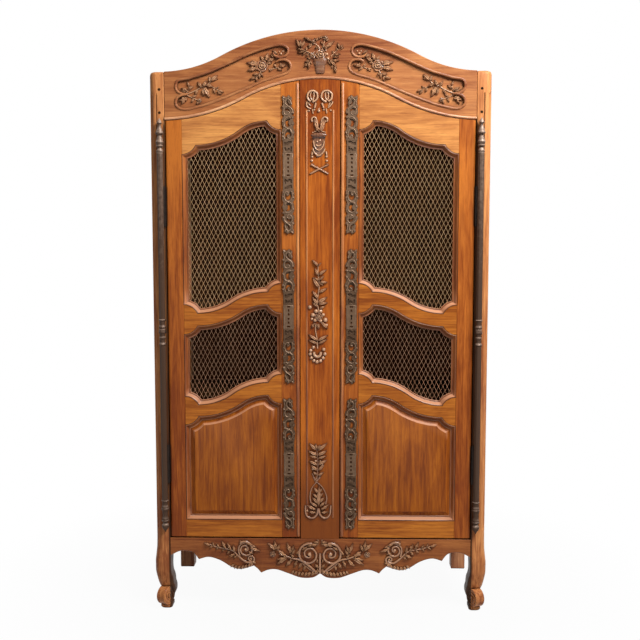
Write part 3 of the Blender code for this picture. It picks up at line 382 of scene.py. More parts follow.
# %% Shader maths
class Tone:
    """One socket of a material."""

    def __init__(self, tree, socket=None):
        self.tree = tree
        self.socket = socket

    def node(self, kind, settings, inputs, out=0):
        """Any node: its type, its settings, its inputs, and which output to go on with."""
        made = self.tree.nodes.new("ShaderNode" + kind)
        for name, value in settings.items():
            if name == "stops":
                ramp = made.color_ramp
                while len(ramp.elements) < len(value):
                    ramp.elements.new(0.5)
                for stop, (place, colour) in zip(ramp.elements, value):
                    stop.position = place
                    stop.color = colour
            else:
                setattr(made, name, value)
        for key, value in inputs.items():
            self.feed(made.inputs[key], value)
        return Tone(self.tree, made.outputs[out])

    def feed(self, socket, value):
        """Join a value to an input, or set it."""
        if isinstance(value, Tone):
            self.tree.links.new(value.socket, socket)
        else:
            socket.default_value = value

    def sum(self, operation, first, second):
        """One Math node."""
        return self.node("Math", {"operation": operation}, {0: first, 1: second})

    def __add__(self, other):
        return self.sum("ADD", self, other)

    def __sub__(self, other):
        return self.sum("SUBTRACT", self, other)

    def __rsub__(self, other):
        return self.sum("SUBTRACT", other, self)

    def __mul__(self, other):
        return self.sum("MULTIPLY", self, other)

    __radd__ = __add__
    __rmul__ = __mul__

    def above(self, low, high):
        """0 under low, 1 over high."""
        return self.node("MapRange", {"clamp": True}, {"Value": self, "From Min": low, "From Max": high})

    def between(self, first, second):
        """A colour between two, by this value."""
        return self.node("Mix", {"data_type": "RGBA"}, {0: self, 6: first, 7: second}, 2)


# %% A new finish
def finish(name):
    """A new material, its start for maths and its shader."""
    material = bpy.data.materials.new(name)
    material.use_nodes = True
    tree = material.node_tree
    return material, Tone(tree), tree.nodes["Principled BSDF"]


def shadow_in_hollows(start, reach):
    """0 on open surfaces and near 1 deep in a hollow, where wax and grime collect and where shade is painted."""
    return 1 - start.node("AmbientOcclusion", {"samples": 8}, {"Distance": reach}, 1)


# %% [markdown]
# ## Walnut
# Old waxed walnut is orange brown, with darker streaks along the grain, fine pores and cloudy changes of tone. Wax and
# grime have gathered in the hollows, and the finish darkens them further with painted shade. A picture of wood would be
# quick, but it would stretch over curved pieces. Noise on Object coordinates, drawn out along the grain, runs through
# each piece as the real grain does.

# %% The walnut shader
GRAIN = {"x": (0.055, 1.0, 1.0), "y": (1.0, 0.055, 1.0), "z": (1.0, 1.0, 0.055)}
CLOUD_DRAW = 0.45
# Colour of grime in the hollows, of the painted shade there and of the painted shadow beside the hinges.
GRIME_AND_SHADE = (0.030, 0.012, 0.005, 1.0)
# Heights between which painted light changes the wood from bottom to top.
PAINTED_LIGHT_HEIGHTS = (0.3, 2.3)
# Heights over which foot paints shade towards the floor.
FLOOR_SHADE_HEIGHTS = (0.76, 0.50)
BACK_DEPTHS = (0.264, 0.268)
TOP_HEIGHTS = (2.204, 2.210)
# Where the painted shadow of the hinge barrels falls on the posts.
HINGE_SHADOW_REACH = (0.6340, 0.6305)
HINGE_SHADOW_HEIGHTS = (2.05, 2.00)


def tint(colour, *shares):
    """A colour with each of its channels taken up or down."""
    return (*[min(1.0, channel * share) for channel, share in zip(colour, shares)], 1.0)


def noise(place, scale, detail, roughness=0.5, distortion=0.0):
    """Cloudy noise at a place."""
    return place.node("TexNoise", {}, {"Vector": place, "Scale": scale, "Detail": detail, "Roughness": roughness,
                                       "Distortion": distortion})


def along(place, axis):
    """One coordinate of a place."""
    return place.node("SeparateXYZ", {}, {"Vector": place}, axis)


def walnut(name, grain, colour, hollow=0.85, reach=0.014, streak=1.0, shine=0.40, gloss=0.20, rubbed_and_lit=False, painted_light=0.0,
           smudges=0.6, shift=0.0, foot=0.0, hinge_shadow=False, painted_highlight=None, outside=None):
    """Waxed wood with its grain along one axis, around a middle colour.

    Hollow and reach set how dark and how wide the hollows are, darkened as grime and painted shade, streak and smudges
    how lively the figure is, and shift moves the figure. A positive painted light makes the wood paler upwards and a
    negative one darker upwards: painted light and shade by height. Foot paints shade towards the floor, and a hinge
    shadow paints the shadow of the hinge barrels beside them. Rubbed and lit wood is painted dark where its mark is
    low, as shade in the recesses, and pale where it is high, as rubbing with a painted highlight. Wood with an outside
    colour shows it at the back and on top of the cabinet.
    """
    material, start, shader = finish(name)
    place = start.node("TexCoord", {}, {}, "Object")
    fibre = start.node("Mapping", {}, {"Vector": place, "Scale": GRAIN[grain]})
    drawn = start.node("Mapping", {}, {"Vector": place, "Scale": [share ** CLOUD_DRAW for share in GRAIN[grain]],
                                       "Location": (shift, shift, shift)})
    height = along(place, "Z")
    cloud = noise(drawn, 9.0, 4.0, 0.6, 0.8)
    smudge = noise(drawn, 11.0, 4.0, distortion=0.7).above(0.58, 0.74)
    broad = noise(fibre, 38.0, 5.0, 0.62, 1.6)
    fine = noise(fibre, 150.0, 3.0, 0.65)
    pore = noise(fibre, 620.0, 1.0).above(0.60, 0.74)
    figure = (broad - 0.5) * (1.15 * streak) + (fine - 0.5) * streak + (cloud - 0.5) * 1.2 + 0.5
    # Painted light by height: a positive amount makes the top paler, a negative one makes it darker as painted shade.
    figure = figure + (height.above(*PAINTED_LIGHT_HEIGHTS) - 0.5) * painted_light
    dark, pale = tint(colour, 0.56, 0.44, 0.45), tint(colour, 1.38, 1.58, 1.60)
    wood = start.node("ValToRGB", {"stops": [(0.18, dark), (0.50, (*colour, 1.0)), (0.82, pale)]}, {"Fac": figure})
    wood = (smudge * smudges).between(wood, tint(colour, 0.50, 0.36, 0.50))
    wood = (pore * 0.45).between(wood, dark)
    # Painted shade towards the floor.
    wood = (height.above(*FLOOR_SHADE_HEIGHTS) * foot).between(wood, tint(colour, 0.40, 0.38, 0.60))
    # Inner wood: its dark colour is painted shade, and its back and top faces take the outside colour.
    if outside:
        shades = [(0.2, tint(outside, 0.6, 0.6, 0.6)), (0.8, tint(outside, 1.4, 1.4, 1.4))]
        bare = start.node("ValToRGB", {"stops": shades}, {"Fac": figure})
        wood = (along(place, "Y").above(*BACK_DEPTHS) + height.above(*TOP_HEIGHTS)).between(wood, bare)
    # Painted shadow of the hinge barrels on the posts beside them.
    if hinge_shadow:
        across = start.node("Math", {"operation": "ABSOLUTE"}, {0: along(place, "X")})
        wood = (across.above(*HINGE_SHADOW_REACH) * height.above(*HINGE_SHADOW_HEIGHTS) * 0.9).between(wood, GRIME_AND_SHADE)
    # Painted shade where the mark is low; pale rubbing with a painted highlight where it is high.
    if rubbed_and_lit:
        rise = start.node("Attribute", {"attribute_name": "rise"}, {}, "Fac")
        wood = rise.above(0.0, 0.5).between(tint(colour, 0.20, 0.17, 0.17), wood)
        pale_rubbing_and_highlight = (*painted_highlight, 1.0) if painted_highlight else tint(colour, 1.85, 2.5, 2.9)
        wood = (rise.above(0.42, 0.92) * 0.85).between(wood, pale_rubbing_and_highlight)
    # Grime in the hollows, darkened further as painted shade.
    grime_and_shade = shadow_in_hollows(start, reach).above(0.15, 0.68)
    start.feed(shader.inputs["Base Color"], (grime_and_shade * hollow).between(wood, GRIME_AND_SHADE))
    start.feed(shader.inputs["Roughness"], (fine - 0.5) * 0.25 + grime_and_shade * 0.25 + pore * 0.15 + shine)
    relief = fine * 0.6 + broad * 0.6 - pore * 0.5
    bump = start.node("Bump", {}, {"Strength": 0.35, "Distance": 0.0006, "Height": relief})
    start.feed(shader.inputs["Normal"], bump)
    shader.inputs["Specular IOR Level"].default_value = gloss
    return material


# %% Kinds of walnut
# Colour of the painted highlight on faces of mouldings and fields that look up.
PAINTED_HIGHLIGHT = (0.66, 0.31, 0.165)
MOULDED = {"hollow": 0.9, "reach": 0.008, "shine": 0.32, "gloss": 0.45, "rubbed_and_lit": True, "painted_highlight": PAINTED_HIGHLIGHT}
CARVED = {"hollow": 0.6, "reach": 0.005, "shine": 0.26, "gloss": 0.75, "rubbed_and_lit": True}
BEADED = {"hollow": 0.6, "reach": 0.006}
# Inner wood is painted nearly black as shade inside the cabinet, with a lighter colour outside.
SHADED_INSIDE = {"hollow": 0.5, "shine": 0.7, "gloss": 0.1, "outside": (0.16, 0.068, 0.025)}
RAIL_WOOD = walnut("walnut_rail", "x", (0.435, 0.124, 0.014), smudges=0.35, shift=0.3)
TOP_WOOD = walnut("walnut_top_rail", "x", (0.58, 0.225, 0.060), streak=0.65)
STILE_WOOD = walnut("walnut_stile", "z", (0.41, 0.103, 0.0135), painted_light=0.46)
PANEL_WOOD = walnut("walnut_panel", "z", (0.37, 0.090, 0.006), streak=1.1)
FIELD_WOOD = walnut("walnut_field", "z", (0.37, 0.090, 0.006), streak=1.1, smudges=0.3, rubbed_and_lit=True, painted_highlight=PAINTED_HIGHLIGHT)
CENTRE_WOOD = walnut("walnut_centre", "z", (0.41, 0.096, 0.009), reach=0.028, painted_light=-0.55, smudges=0.5, shift=0.17,
                     foot=0.8)
CORNICE_WOOD = walnut("walnut_cornice", "x", (0.40, 0.140, 0.045), streak=0.7, smudges=0.3, shift=0.4)
APRON_WOOD = walnut("walnut_apron", "x", (0.325, 0.096, 0.025))
POST_WOOD = walnut("walnut_post", "z", (0.545, 0.203, 0.068), gloss=0.12, painted_light=0.15, hinge_shadow=True)
REAR_WOOD = walnut("walnut_rear_post", "z", (0.52, 0.220, 0.100), gloss=0.12)
MOULD_X = walnut("walnut_moulding_level", "x", (0.32, 0.094, 0.024), **MOULDED)
MOULD_Z = walnut("walnut_moulding_upright", "z", (0.38, 0.110, 0.027), **MOULDED)
CARVED_X = walnut("walnut_carved_level", "x", (0.345, 0.140, 0.062), **CARVED)
CARVED_Z = walnut("walnut_carved_upright", "z", (0.345, 0.142, 0.066), **CARVED)
BEAD_X = walnut("walnut_bead_level", "x", (0.62, 0.290, 0.140), shine=0.30, gloss=0.5, **BEADED)
BEAD_Z = walnut("walnut_bead_upright", "z", (0.46, 0.160, 0.050), shine=0.34, gloss=0.4, painted_light=0.55, **BEADED)
BORDER_WOOD = walnut("walnut_border", "x", (0.37, 0.135, 0.050), hollow=0.88, reach=0.010, shine=0.38, gloss=0.25)
SIDE_RAIL_WOOD = walnut("walnut_side_rail", "y", (0.34, 0.105, 0.026))
SHADED_INNER_X = walnut("inner_wood_level_shaded", "x", (0.030, 0.013, 0.003), **SHADED_INSIDE)
SHADED_INNER_Z = walnut("inner_wood_upright_shaded", "z", (0.024, 0.008, 0.001), painted_light=-0.7, **SHADED_INSIDE)
print("materials so far", len(bpy.data.materials))

# %% [markdown]
# ## Iron and wire
# The hinges and escutcheons are old wrought iron, brown grey, brighter where hands have rubbed them and nearly black
# in the hollows. The finish also paints highlights where the iron faces up, and shade in the hollows and lower down.
# The net is thinner and paler, a dull brass. Both are one metal shader with two noises.

# %% The metal shader
# Colour of soot in the hollows and of the painted shade there.
SOOT_AND_SHADE = (0.012, 0.008, 0.006, 1.0)
# Heights over which lower metal takes painted shade, where less light falls.
LOWER_SHADE_HEIGHTS = (1.75, 1.15)


def metal(name, bare, aged, shine, hollow, reach, metallic, rubbed_and_lit=False):
    """Old metal: bare on open places and aged in patches; rubbed and lit metal has painted shade where its mark is low
    and lower down, and a painted highlight where its mark is high.
    """
    material, start, shader = finish(name)
    place = start.node("TexCoord", {}, {}, "Object")
    patch = noise(place, 60.0, 4.0, 0.55)
    grit = noise(place, 900.0, 2.0)
    tarnish_and_shade = patch.above(0.36, 0.66)
    if rubbed_and_lit:
        rise = start.node("Attribute", {"attribute_name": "rise"}, {}, "Fac")
        # Painted shade where the mark is low and lower down; bare metal, partly a painted highlight, where it is high.
        tarnish_and_shade = (1 - rise.above(0.15, 0.85)) * 0.82 + tarnish_and_shade * 0.2 + along(place, "Z").above(*LOWER_SHADE_HEIGHTS) * 0.25
    # Soot in the hollows, darkened further as painted shade.
    grime_and_shade = shadow_in_hollows(start, reach).above(0.25, 0.9)
    colour = tarnish_and_shade.between((*bare, 1.0), (*aged, 1.0))
    start.feed(shader.inputs["Base Color"], (grime_and_shade * hollow).between(colour, SOOT_AND_SHADE))
    start.feed(shader.inputs["Roughness"], tarnish_and_shade * 0.22 + (grit - 0.5) * 0.2 + grime_and_shade * 0.2 + shine)
    relief = patch * 0.7 + grit * 0.3
    bump = start.node("Bump", {}, {"Strength": 0.4, "Distance": 0.0005, "Height": relief})
    start.feed(shader.inputs["Normal"], bump)
    shader.inputs["Metallic"].default_value = metallic
    shader.inputs["Specular IOR Level"].default_value = 0.35
    return material


# %% Kinds of metal
IRON = metal("worn_iron", (0.215, 0.130, 0.080), (0.085, 0.045, 0.024), 0.30, 0.92, 0.007, 0.55)
HINGE_IRON = metal("hinge_iron", (0.520, 0.370, 0.280), (0.074, 0.037, 0.020), 0.36, 0.92, 0.007, 0.25, rubbed_and_lit=True)
# Nearly black iron: painted shade on the leaves that show in the gap beside the barrel.
SHADED_LEAF_IRON = metal("shaded_leaf_iron", (0.030, 0.016, 0.010), (0.018, 0.010, 0.006), 0.5, 0.9, 0.007, 0.1)
PLATE_IRON = metal("plate_iron", (0.360, 0.225, 0.138), (0.092, 0.046, 0.021), 0.34, 0.98, 0.008, 0.35, rubbed_and_lit=True)
NET_WIRE = metal("net_wire", (1.0, 0.62, 0.32), (0.84, 0.47, 0.22), 0.40, 0.2, 0.003, 0.1)
# A darker copy of the net wire for the lower nets: painted shade where less light falls.
SHADED_WIRE = metal("net_wire_shaded", (0.68, 0.37, 0.21), (0.50, 0.25, 0.135), 0.45, 0.2, 0.003, 0.1)
print("metals", [metal_made.name for metal_made in (IRON, HINGE_IRON, SHADED_LEAF_IRON, PLATE_IRON, NET_WIRE, SHADED_WIRE)])

# %% [markdown]
# ## Dressing the plain joinery
# The sides, back, shelves, rear posts and lock are plain forms whose shapes are already right. They keep their meshes
# and only get a finish. The grain of the wood runs along each of them.

# %% Dress the plain joinery
BOTH = [side for side, hand in SIDES]
PLAIN = (
    (REAR_WOOD, ["rear_post_" + side for side in BOTH]),
    (STILE_WOOD, ["turn_button"]),
    (CENTRE_WOOD, ["centre_post"]),
    (PANEL_WOOD, ["side_%s_panel_%s" % (level, side) for level in ("upper", "lower") for side in BOTH]),
    (SIDE_RAIL_WOOD, ["side_%s_rail_%s" % (level, side) for level in ("top", "mid", "bottom") for side in BOTH]),
    (SHADED_INNER_X, ["back_top_rail", "back_bottom_rail", "top_boards", "bottom_boards", "shelf_upper", "shelf_lower",
               "shelf_cleat_left", "shelf_cleat_right"]),
    (SHADED_INNER_Z, ["back_panel"]),
    (IRON, ["lock_case", "lock_bolt"]),
)
for surface, nodes in PLAIN:
    for node in nodes:
        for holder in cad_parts[node].material_slots:
            holder.material = surface
print("dressed", sum(len(nodes) for surface, nodes in PLAIN), "joinery pieces")

# %% [markdown]
# ## The cornice
# One arched board closes the top. A half-round bead runs along its lower edge, and a long sunk cartouche with lobed
# ends is carved on each side. The board is drawn and extruded. The sunk grounds are cut by a Boolean, which is how the
# carver starts too: the ground is lowered first, and the border and leaves stand on it. The lines of the borders are in
# millimetres, as measured on the left.

# %% Lines of the cornice
BORDER_UPPER = [(-530, 2128), (-553, 2129), (-569, 2136), (-577, 2149), (-578, 2165), (-571, 2179), (-554, 2185),
                (-528, 2189), (-501, 2197), (-448, 2213), (-390, 2237), (-331, 2264), (-283, 2285), (-235, 2302),
                (-196, 2313), (-167, 2319), (-143, 2316), (-129, 2305), (-128, 2288), (-139, 2275), (-158, 2269),
                (-177, 2275), (-188, 2288)]
BORDER_LOWER = [(-530, 2126), (-555, 2123), (-572, 2114), (-579, 2097), (-575, 2081), (-560, 2070), (-535, 2067),
                (-502, 2074), (-468, 2082), (-430, 2095), (-381, 2113), (-332, 2133), (-284, 2153), (-236, 2174),
                (-197, 2187), (-163, 2197), (-137, 2206), (-121, 2218), (-116, 2235), (-124, 2253), (-143, 2261),
                (-163, 2259), (-175, 2252)]
CARTOUCHE_DEPTH = 0.009
BORDER_RADIUS = 0.0056
BORDER_SINK = 0.001
BORDER_TIP, BORDER_TAPER = 0.45, 14
CORNICE_EDGE = 0.0022
BEAD_RADIUS = 0.0057
BEAD_SINK = 0.0004
BEAD_END = 0.001


def metres(points):
    """Points given in millimetres."""
    return [(across * MM, height * MM) for across, height in points]


def carve_out(piece, *tools):
    """Cut a piece with tools, which are used up."""
    for tool in tools:
        work(piece, "BOOLEAN", object=tool, operation="DIFFERENCE", solver="EXACT")
    scrap(*tools)
    return piece


print("border points", len(BORDER_UPPER) + len(BORDER_LOWER))

# %% The cornice board
reach = POST_INNER - FIT
cornice = board("cornice", arch(reach, 0.0) + arch(reach, CORNICE_HEIGHT)[::-1], FACE, FACE + CORNICE_THICK)
sunk = flowing(metres(BORDER_UPPER[1:20]), 4) + flowing(metres(BORDER_LOWER[1:21]), 4)[::-1]
grounds = []
for side, hand in SIDES:
    line = [(-hand * across, height) for across, height in sunk]
    grounds.append(board("ground_" + side, line, FACE - CARTOUCHE_DEPTH, FACE + CARTOUCHE_DEPTH))
carve_out(cornice, *grounds)
soften(cornice, CORNICE_EDGE)
fit(cornice, "cornice_board", "root", "walnut", CORNICE_WOOD, stands_for=("cornice_rail",))
print("cornice faces", len(cornice.data.polygons))

# %% Bead and borders
bead_line = [(across, FACE + BEAD_SINK, height)
             for across, height in arch(reach - BEAD_END, CORNICE_HEIGHT - BEAD_RADIUS)]
bead = cane("bead", [(bead_line, [BEAD_RADIUS] * len(bead_line), False)], 4)
fit(shade(bead), "cornice_bead", "root", "walnut", BEAD_X)
runs = []
for side, hand in SIDES:
    for points in (BORDER_UPPER, BORDER_LOWER):
        line = flowing(metres(points), 6)
        to_end = [min(step, len(line) - 1 - step) for step in range(len(line))]
        thickness = [BORDER_RADIUS * min(1.0, BORDER_TIP + steps / BORDER_TAPER) for steps in to_end]
        runs.append(([(-hand * across, FACE + BORDER_SINK, height) for across, height in line], thickness, False))
border = cane("border", runs, 3)
fit(shade(border), "cartouche_borders", "root", "walnut", BORDER_WOOD)
print("bead faces", len(bead.data.polygons), "border faces", len(border.data.polygons))

# %% [markdown]
# ## The apron
# The apron hangs under the doors between the legs. Its lower edge is scalloped: a hollow beside each leg, a lobe, a
# point, and two lobes that meet in the middle. The edge is a smooth line through measured points, sharp only at the
# cusps. Each point is a share of the half width and a height. The board is lofted from side to side, so that every
# section has the same hand-rounded lower edge.

# %% The apron
APRON_TOP = 0.304
APRON_THICK = 0.045
APRON_TOP_EDGE, APRON_BACK_EDGE = 0.001, 0.003
APRON_ROUND = ((0.0, 7.0), (0.8, 4.0), (2.6, 1.6), (5.5, 0.3), (9.0, 0.0))
APRON_STRETCHES = (
    ((1.000, 0.226), (0.952, 0.242), (0.907, 0.247), (0.850, 0.239), (0.812, 0.210)),
    ((0.812, 0.210), (0.745, 0.220), (0.668, 0.206), (0.590, 0.177), (0.527, 0.169), (0.443, 0.184)),
    ((0.443, 0.184), (0.416, 0.170), (0.395, 0.154)),
    ((0.395, 0.154), (0.344, 0.167), (0.288, 0.168), (0.208, 0.151), (0.128, 0.134), (0.048, 0.135),
     (0.0, 0.153)))
half = []
for stretch in APRON_STRETCHES:
    half += flowing([(share * reach, height) for share, height in stretch], 7)[:-1]
low_edge = [(-across, height) for across, height in half] + [(0.0, APRON_STRETCHES[-1][-1][1])] + half[::-1]


def apron_section(across, low):
    """Section of the apron where its lower edge is at that height."""
    back = FACE + APRON_THICK
    ring = [(FACE + deep * MM, low + rise * MM) for deep, rise in APRON_ROUND]
    ring += [(back - APRON_BACK_EDGE, low), (back, low + APRON_BACK_EDGE)]
    ring += [(back, APRON_TOP), (FACE + APRON_TOP_EDGE, APRON_TOP), (FACE, APRON_TOP - APRON_TOP_EDGE)]
    return [(across, depth, height) for depth, height in ring]


apron = shade(lofted("apron", [apron_section(*point) for point in low_edge]), 26)
fit(apron, "apron_board", "root", "walnut", APRON_WOOD, stands_for=("apron_rail",))
print("apron faces", len(apron.data.polygons))

# %% [markdown]
# ## Corner posts and cabriole legs
# Each front post is one stick of walnut. Its outer corner is rounded and fluted between two stops, and its foot is
# shaped as a cabriole leg: out at the knee, in at the ankle, ending in a scroll on a small pad. A loft suits it,
# because only the section changes from the floor to the top. A row of the leg is its height, and how far it stands out
# at its outer side, its inner side and its front.

# %% Measures of the posts
POST_CORNER, CORNER_SHARE = 0.028, 0.46
POST_EDGE, LEG_EDGE, EDGE_SHARE = 0.003, 0.007, 0.24
LEG_TOP, LEG_BLEND = 0.245, 0.06
CORNER_STEPS, EDGE_TURNS = 30, 4
FLUTE_RADIUS = 0.016
FLUTE_DEPTH = 0.0042
FLUTE_ENDS = (0.345, 2.130)
FLUTE_STOP = 0.013
QUIRK = 0.0038
QUIRK_FRONT = ((0.0050, 0.0), (0.0036, 1.0), (0.0014, 1.0))
QUIRK_SIDE = ((1.0, 0.0016), (0.0, 0.0032))
LEG_LINE = ((0.0, -0.016, -0.001, -0.003), (0.003, -0.0125, 0.003, 0.0), (0.014, -0.0125, 0.003, 0.0),
            (0.021, -0.018, -0.007, -0.014), (0.033, -0.022, 0.0, -0.026), (0.044, -0.022, 0.006, -0.032),
            (0.060, -0.017, 0.013, -0.030), (0.076, -0.011, 0.0145, -0.022), (0.0873, -0.008, 0.0135, -0.014),
            (0.101, -0.004, 0.0105, -0.008), (0.117, -0.0005, 0.0095, -0.003), (0.131, 0.002, 0.0075, 0.001),
            (0.145, 0.0045, 0.0035, 0.004), (0.1622, 0.0065, 0.001, 0.0065), (0.1871, 0.0067, 0.0005, 0.0067),
            (0.205, 0.0067, 0.001, 0.0067), (0.2257, 0.0045, 0.0005, 0.0045), (0.262, 0.001, 0.0, 0.001),
            (0.300, 0.0, 0.0, 0.0))
POST_HEAD = ((0.014, 0.0, 0.0, 0.0), (0.006, -0.002, -0.001, -0.002), (0.002, -0.005, -0.002, -0.005),
             (0.0, -0.010, -0.004, -0.010))
print("leg rows", len(LEG_LINE), "flute", round(FLUTE_ENDS[1] - FLUTE_ENDS[0], 3))


# %% Section of a post
def flute_depth(height):
    """How deep the flute is at a height: nothing past its ends, with a round stop at each."""
    low, high = FLUTE_ENDS
    inside = min(height - low, high - height)
    if inside <= 0:
        return 0.0
    return math.sqrt(1 - (1 - min(1.0, inside / FLUTE_STOP)) ** 2)


def post_section(hand, height, out, inner, front):
    """Section of a post: the outer front corner is round and fluted, with a quirk on each side."""
    low_x, high_x = POST_INNER - inner, POST_OUTER + out
    low_y, high_y = FACE - front, POST_BACK + inner
    deep = flute_depth(height)
    corner = min(POST_CORNER, CORNER_SHARE * (high_x - low_x))
    middle = (high_x - corner, low_y + corner)
    ring = [(middle[0] - across, low_y + share * QUIRK * deep) for across, share in QUIRK_FRONT]
    far = POST_CORNER + FLUTE_RADIUS - FLUTE_DEPTH
    for step in range(CORNER_STEPS + 1):
        turn = math.radians(270 + 90 / CORNER_STEPS * step)
        off = abs(turn - math.radians(315))
        radius = corner
        if deep and far * math.sin(off) < FLUTE_RADIUS:
            hollow = far * math.cos(off) - math.sqrt(FLUTE_RADIUS ** 2 - (far * math.sin(off)) ** 2)
            radius -= deep * max(0.0, radius - hollow)
        ring.append((middle[0] + radius * math.cos(turn), middle[1] + radius * math.sin(turn)))
    ring += [(high_x - share * QUIRK * deep, middle[1] + back) for share, back in QUIRK_SIDE]
    in_leg = min(1.0, max(0.0, (LEG_TOP - height) / LEG_BLEND))
    edge = min(POST_EDGE + LEG_EDGE * in_leg, EDGE_SHARE * (high_x - low_x))
    for x, y, begin in ((high_x - edge, high_y - edge, 0), (low_x + edge, high_y - edge, 90),
                        (low_x + edge, low_y + edge, 180)):
        for step in range(EDGE_TURNS + 1):
            turn = math.radians(begin + 90 / EDGE_TURNS * step)
            ring.append((x + edge * math.cos(turn), y + edge * math.sin(turn)))
    return [(hand * x, y, height) for x, y in ring]


# %% Scroll foot
SCROLL_RADIUS = 0.0380
SCROLL_HALF = 0.020
SCROLL_PLACE = (0.651, 0.0125, 0.053)
SCROLL_TURN = math.radians(64)
SPIRAL_STEPS = 48
SPIRAL_START, SPIRAL_SWEEP = math.radians(95), 3.2 * math.pi
SPIRAL_REACH, SPIRAL_DEPTH, SPIRAL_THICK = (0.88, 0.28), 0.86, (0.0040, 0.0026)
EYE = ((0.0, -6.0), (8.0, -6.0), (8.6, -1.0), (6.6, 1.8), (3.0, 2.6), (0.0, 2.6))
DRUM = ((0.0, 0.80), (0.36, 0.84), (0.74, 0.88), (0.88, 0.96), (0.96, 1.0), (1.0, 0.90), (0.985, 0.45),
        (0.98, 0.0))


def scroll_foot(side, hand):
    """The scroll: a drum with a spiral ridge and an eye on both of its ends."""
    half = [(radius * SCROLL_RADIUS, -share * SCROLL_HALF) for radius, share in DRUM]
    drum = turned("drum", half + [(radius, -height) for radius, height in half[-2::-1]], (0.0, 0.0), 40)
    parts = [step / SPIRAL_STEPS for step in range(SPIRAL_STEPS + 1)]
    thick = [SPIRAL_THICK[0] + (SPIRAL_THICK[1] - SPIRAL_THICK[0]) * part for part in parts]
    runs = []
    for end in (-1, 1):
        line = []
        for part in parts:
            radius = SCROLL_RADIUS * (SPIRAL_REACH[0] + (SPIRAL_REACH[1] - SPIRAL_REACH[0]) * part)
            turn = SPIRAL_START + part * SPIRAL_SWEEP
            line.append((radius * math.cos(turn), radius * math.sin(turn), end * SCROLL_HALF * SPIRAL_DEPTH))
        runs.append((line, thick, False))
    ridge = cane("ridge", runs, 2)
    eyes = [turned("eye", [(radius * MM, end * (SCROLL_HALF + deep * MM)) for radius, deep in EYE], (0.0, 0.0), 18)
            for end in (-1, 1)]
    scroll = together("scroll_" + side, [drum, ridge, *eyes])
    turn = Matrix.Rotation(-hand * SCROLL_TURN, 4, "Z") @ Matrix.Rotation(math.pi / 2, 4, "X")
    across, back, height = SCROLL_PLACE
    place = (hand * across, FACE + back, height)
    scroll.data.transform(Matrix.Translation(place) @ turn)
    return scroll


# %% Both posts
stations = [*LEG_LINE[:3], *flowing(LEG_LINE[3:-1], 5), LEG_LINE[-1]]
low, high = FLUTE_ENDS
stops = [FLUTE_STOP * (1 - math.cos(math.radians(15 * step))) for step in range(7)]
stops = [low + stop for stop in stops] + [high - stop for stop in reversed(stops)]
stations += [(height, 0.0, 0.0, 0.0) for height in stops]
stations += [(POST_TOP - drop, *outs) for drop, *outs in POST_HEAD]
for side, hand in SIDES:
    stick = lofted("stick", [post_section(hand, *station) for station in stations])
    post = together("post", [stick, scroll_foot(side, hand)])
    fit(shade(post), "corner_post_" + side, "root", "walnut", POST_WOOD, stands_for=("front_post_" + side,))
print("post stations", len(stations), "faces", len(post.data.polygons))

# %% [markdown]
# ## Door frames
# A door is a frame of two stiles and four rails around two grilles and a panel. Each member is its own board, with
# the grain along it. A board could be drawn with all its curves. It is quicker and cleaner to cut plain blocks with the
# shapes of the three openings and of the arch, so neighbours always meet on the same line.

# %% Measures of the frames
OPENINGS = {"upper": (UPPER_TOP, UPPER_BOTTOM), "lower": (LOWER_TOP, LOWER_BOTTOM),
            "panel": (PANEL_TOP, PANEL_BOTTOM)}
SPARE = 0.03
STICK_TOP = 2.4
RAILS = (("top_rail", UPPER_TOP[0] - SPARE, STICK_TOP, ("upper",)),
         ("upper_mid_rail", LOWER_TOP[0] - SPARE, UPPER_BOTTOM[1] + SPARE, ("upper", "lower")),
         ("lower_mid_rail", PANEL_TOP[0] - SPARE, LOWER_BOTTOM[1] + SPARE, ("lower", "panel")),
         ("bottom_rail", DOOR_BOTTOM, PANEL_BOTTOM + SPARE, ("panel",)))
STILES = (("hinge_stile", JOINT_OUTER, DOOR_OUTER, 0.010), ("lock_stile", DOOR_INNER, JOINT_INNER, 0.0))
MEMBER_EDGE = 0.0007
HEAD_GAP = 0.0014
TOOL_FRONT, TOOL_BACK = FACE - 0.01, FACE + DOOR_THICK + 0.01
ROUND_STEPS, ROUND_DEPTH, ROUND_END = 5, 0.6, 0.001
print("rails", [(word, round(high - low, 3)) for word, low, high, holes in RAILS])


# %% Stiles and rails
def sky():
    """A tool that cuts away what rises past the underside of the cornice."""
    line = arch(POST_INNER, CORNICE_HEIGHT + HEAD_GAP)
    over = STICK_TOP + 0.1
    return board("sky", line + [(POST_INNER, over), (-POST_INNER, over)], TOOL_FRONT, TOOL_BACK)


def hole(name, hand):
    """A tool that cuts one opening."""
    return board("hole", opening(*OPENINGS[name], hand), TOOL_FRONT, TOOL_BACK)


def member(node, body, hand, near, far, low, high, holes, finish_wood, rounding=0.0):
    """One stile or rail, cut from a stick whose far front edge may be rounded."""
    back = FACE + DOOR_THICK
    section = [(near, back), (near, FACE)]
    if rounding:
        deep = ROUND_DEPTH * rounding
        turns = [math.pi / 2 * step / ROUND_STEPS for step in range(ROUND_STEPS + 1)]
        section += [(far - rounding * (1 - math.sin(turn)), FACE + deep * (1 - math.cos(turn))) for turn in turns]
        section += [(far, FACE + deep + ROUND_END), (far, back)]
    else:
        section += [(far, FACE), (far, back)]
    rings = [[(hand * across, depth, height) for across, depth in section] for height in (low, high)]
    piece = lofted("member", rings)
    carve_out(piece, *[hole(name, hand) for name in holes], *([sky()] if high == STICK_TOP else []))
    soften(outwards(piece), MEMBER_EDGE)
    return fit(piece, node + "_wood", body, "walnut", finish_wood, stands_for=(node,))


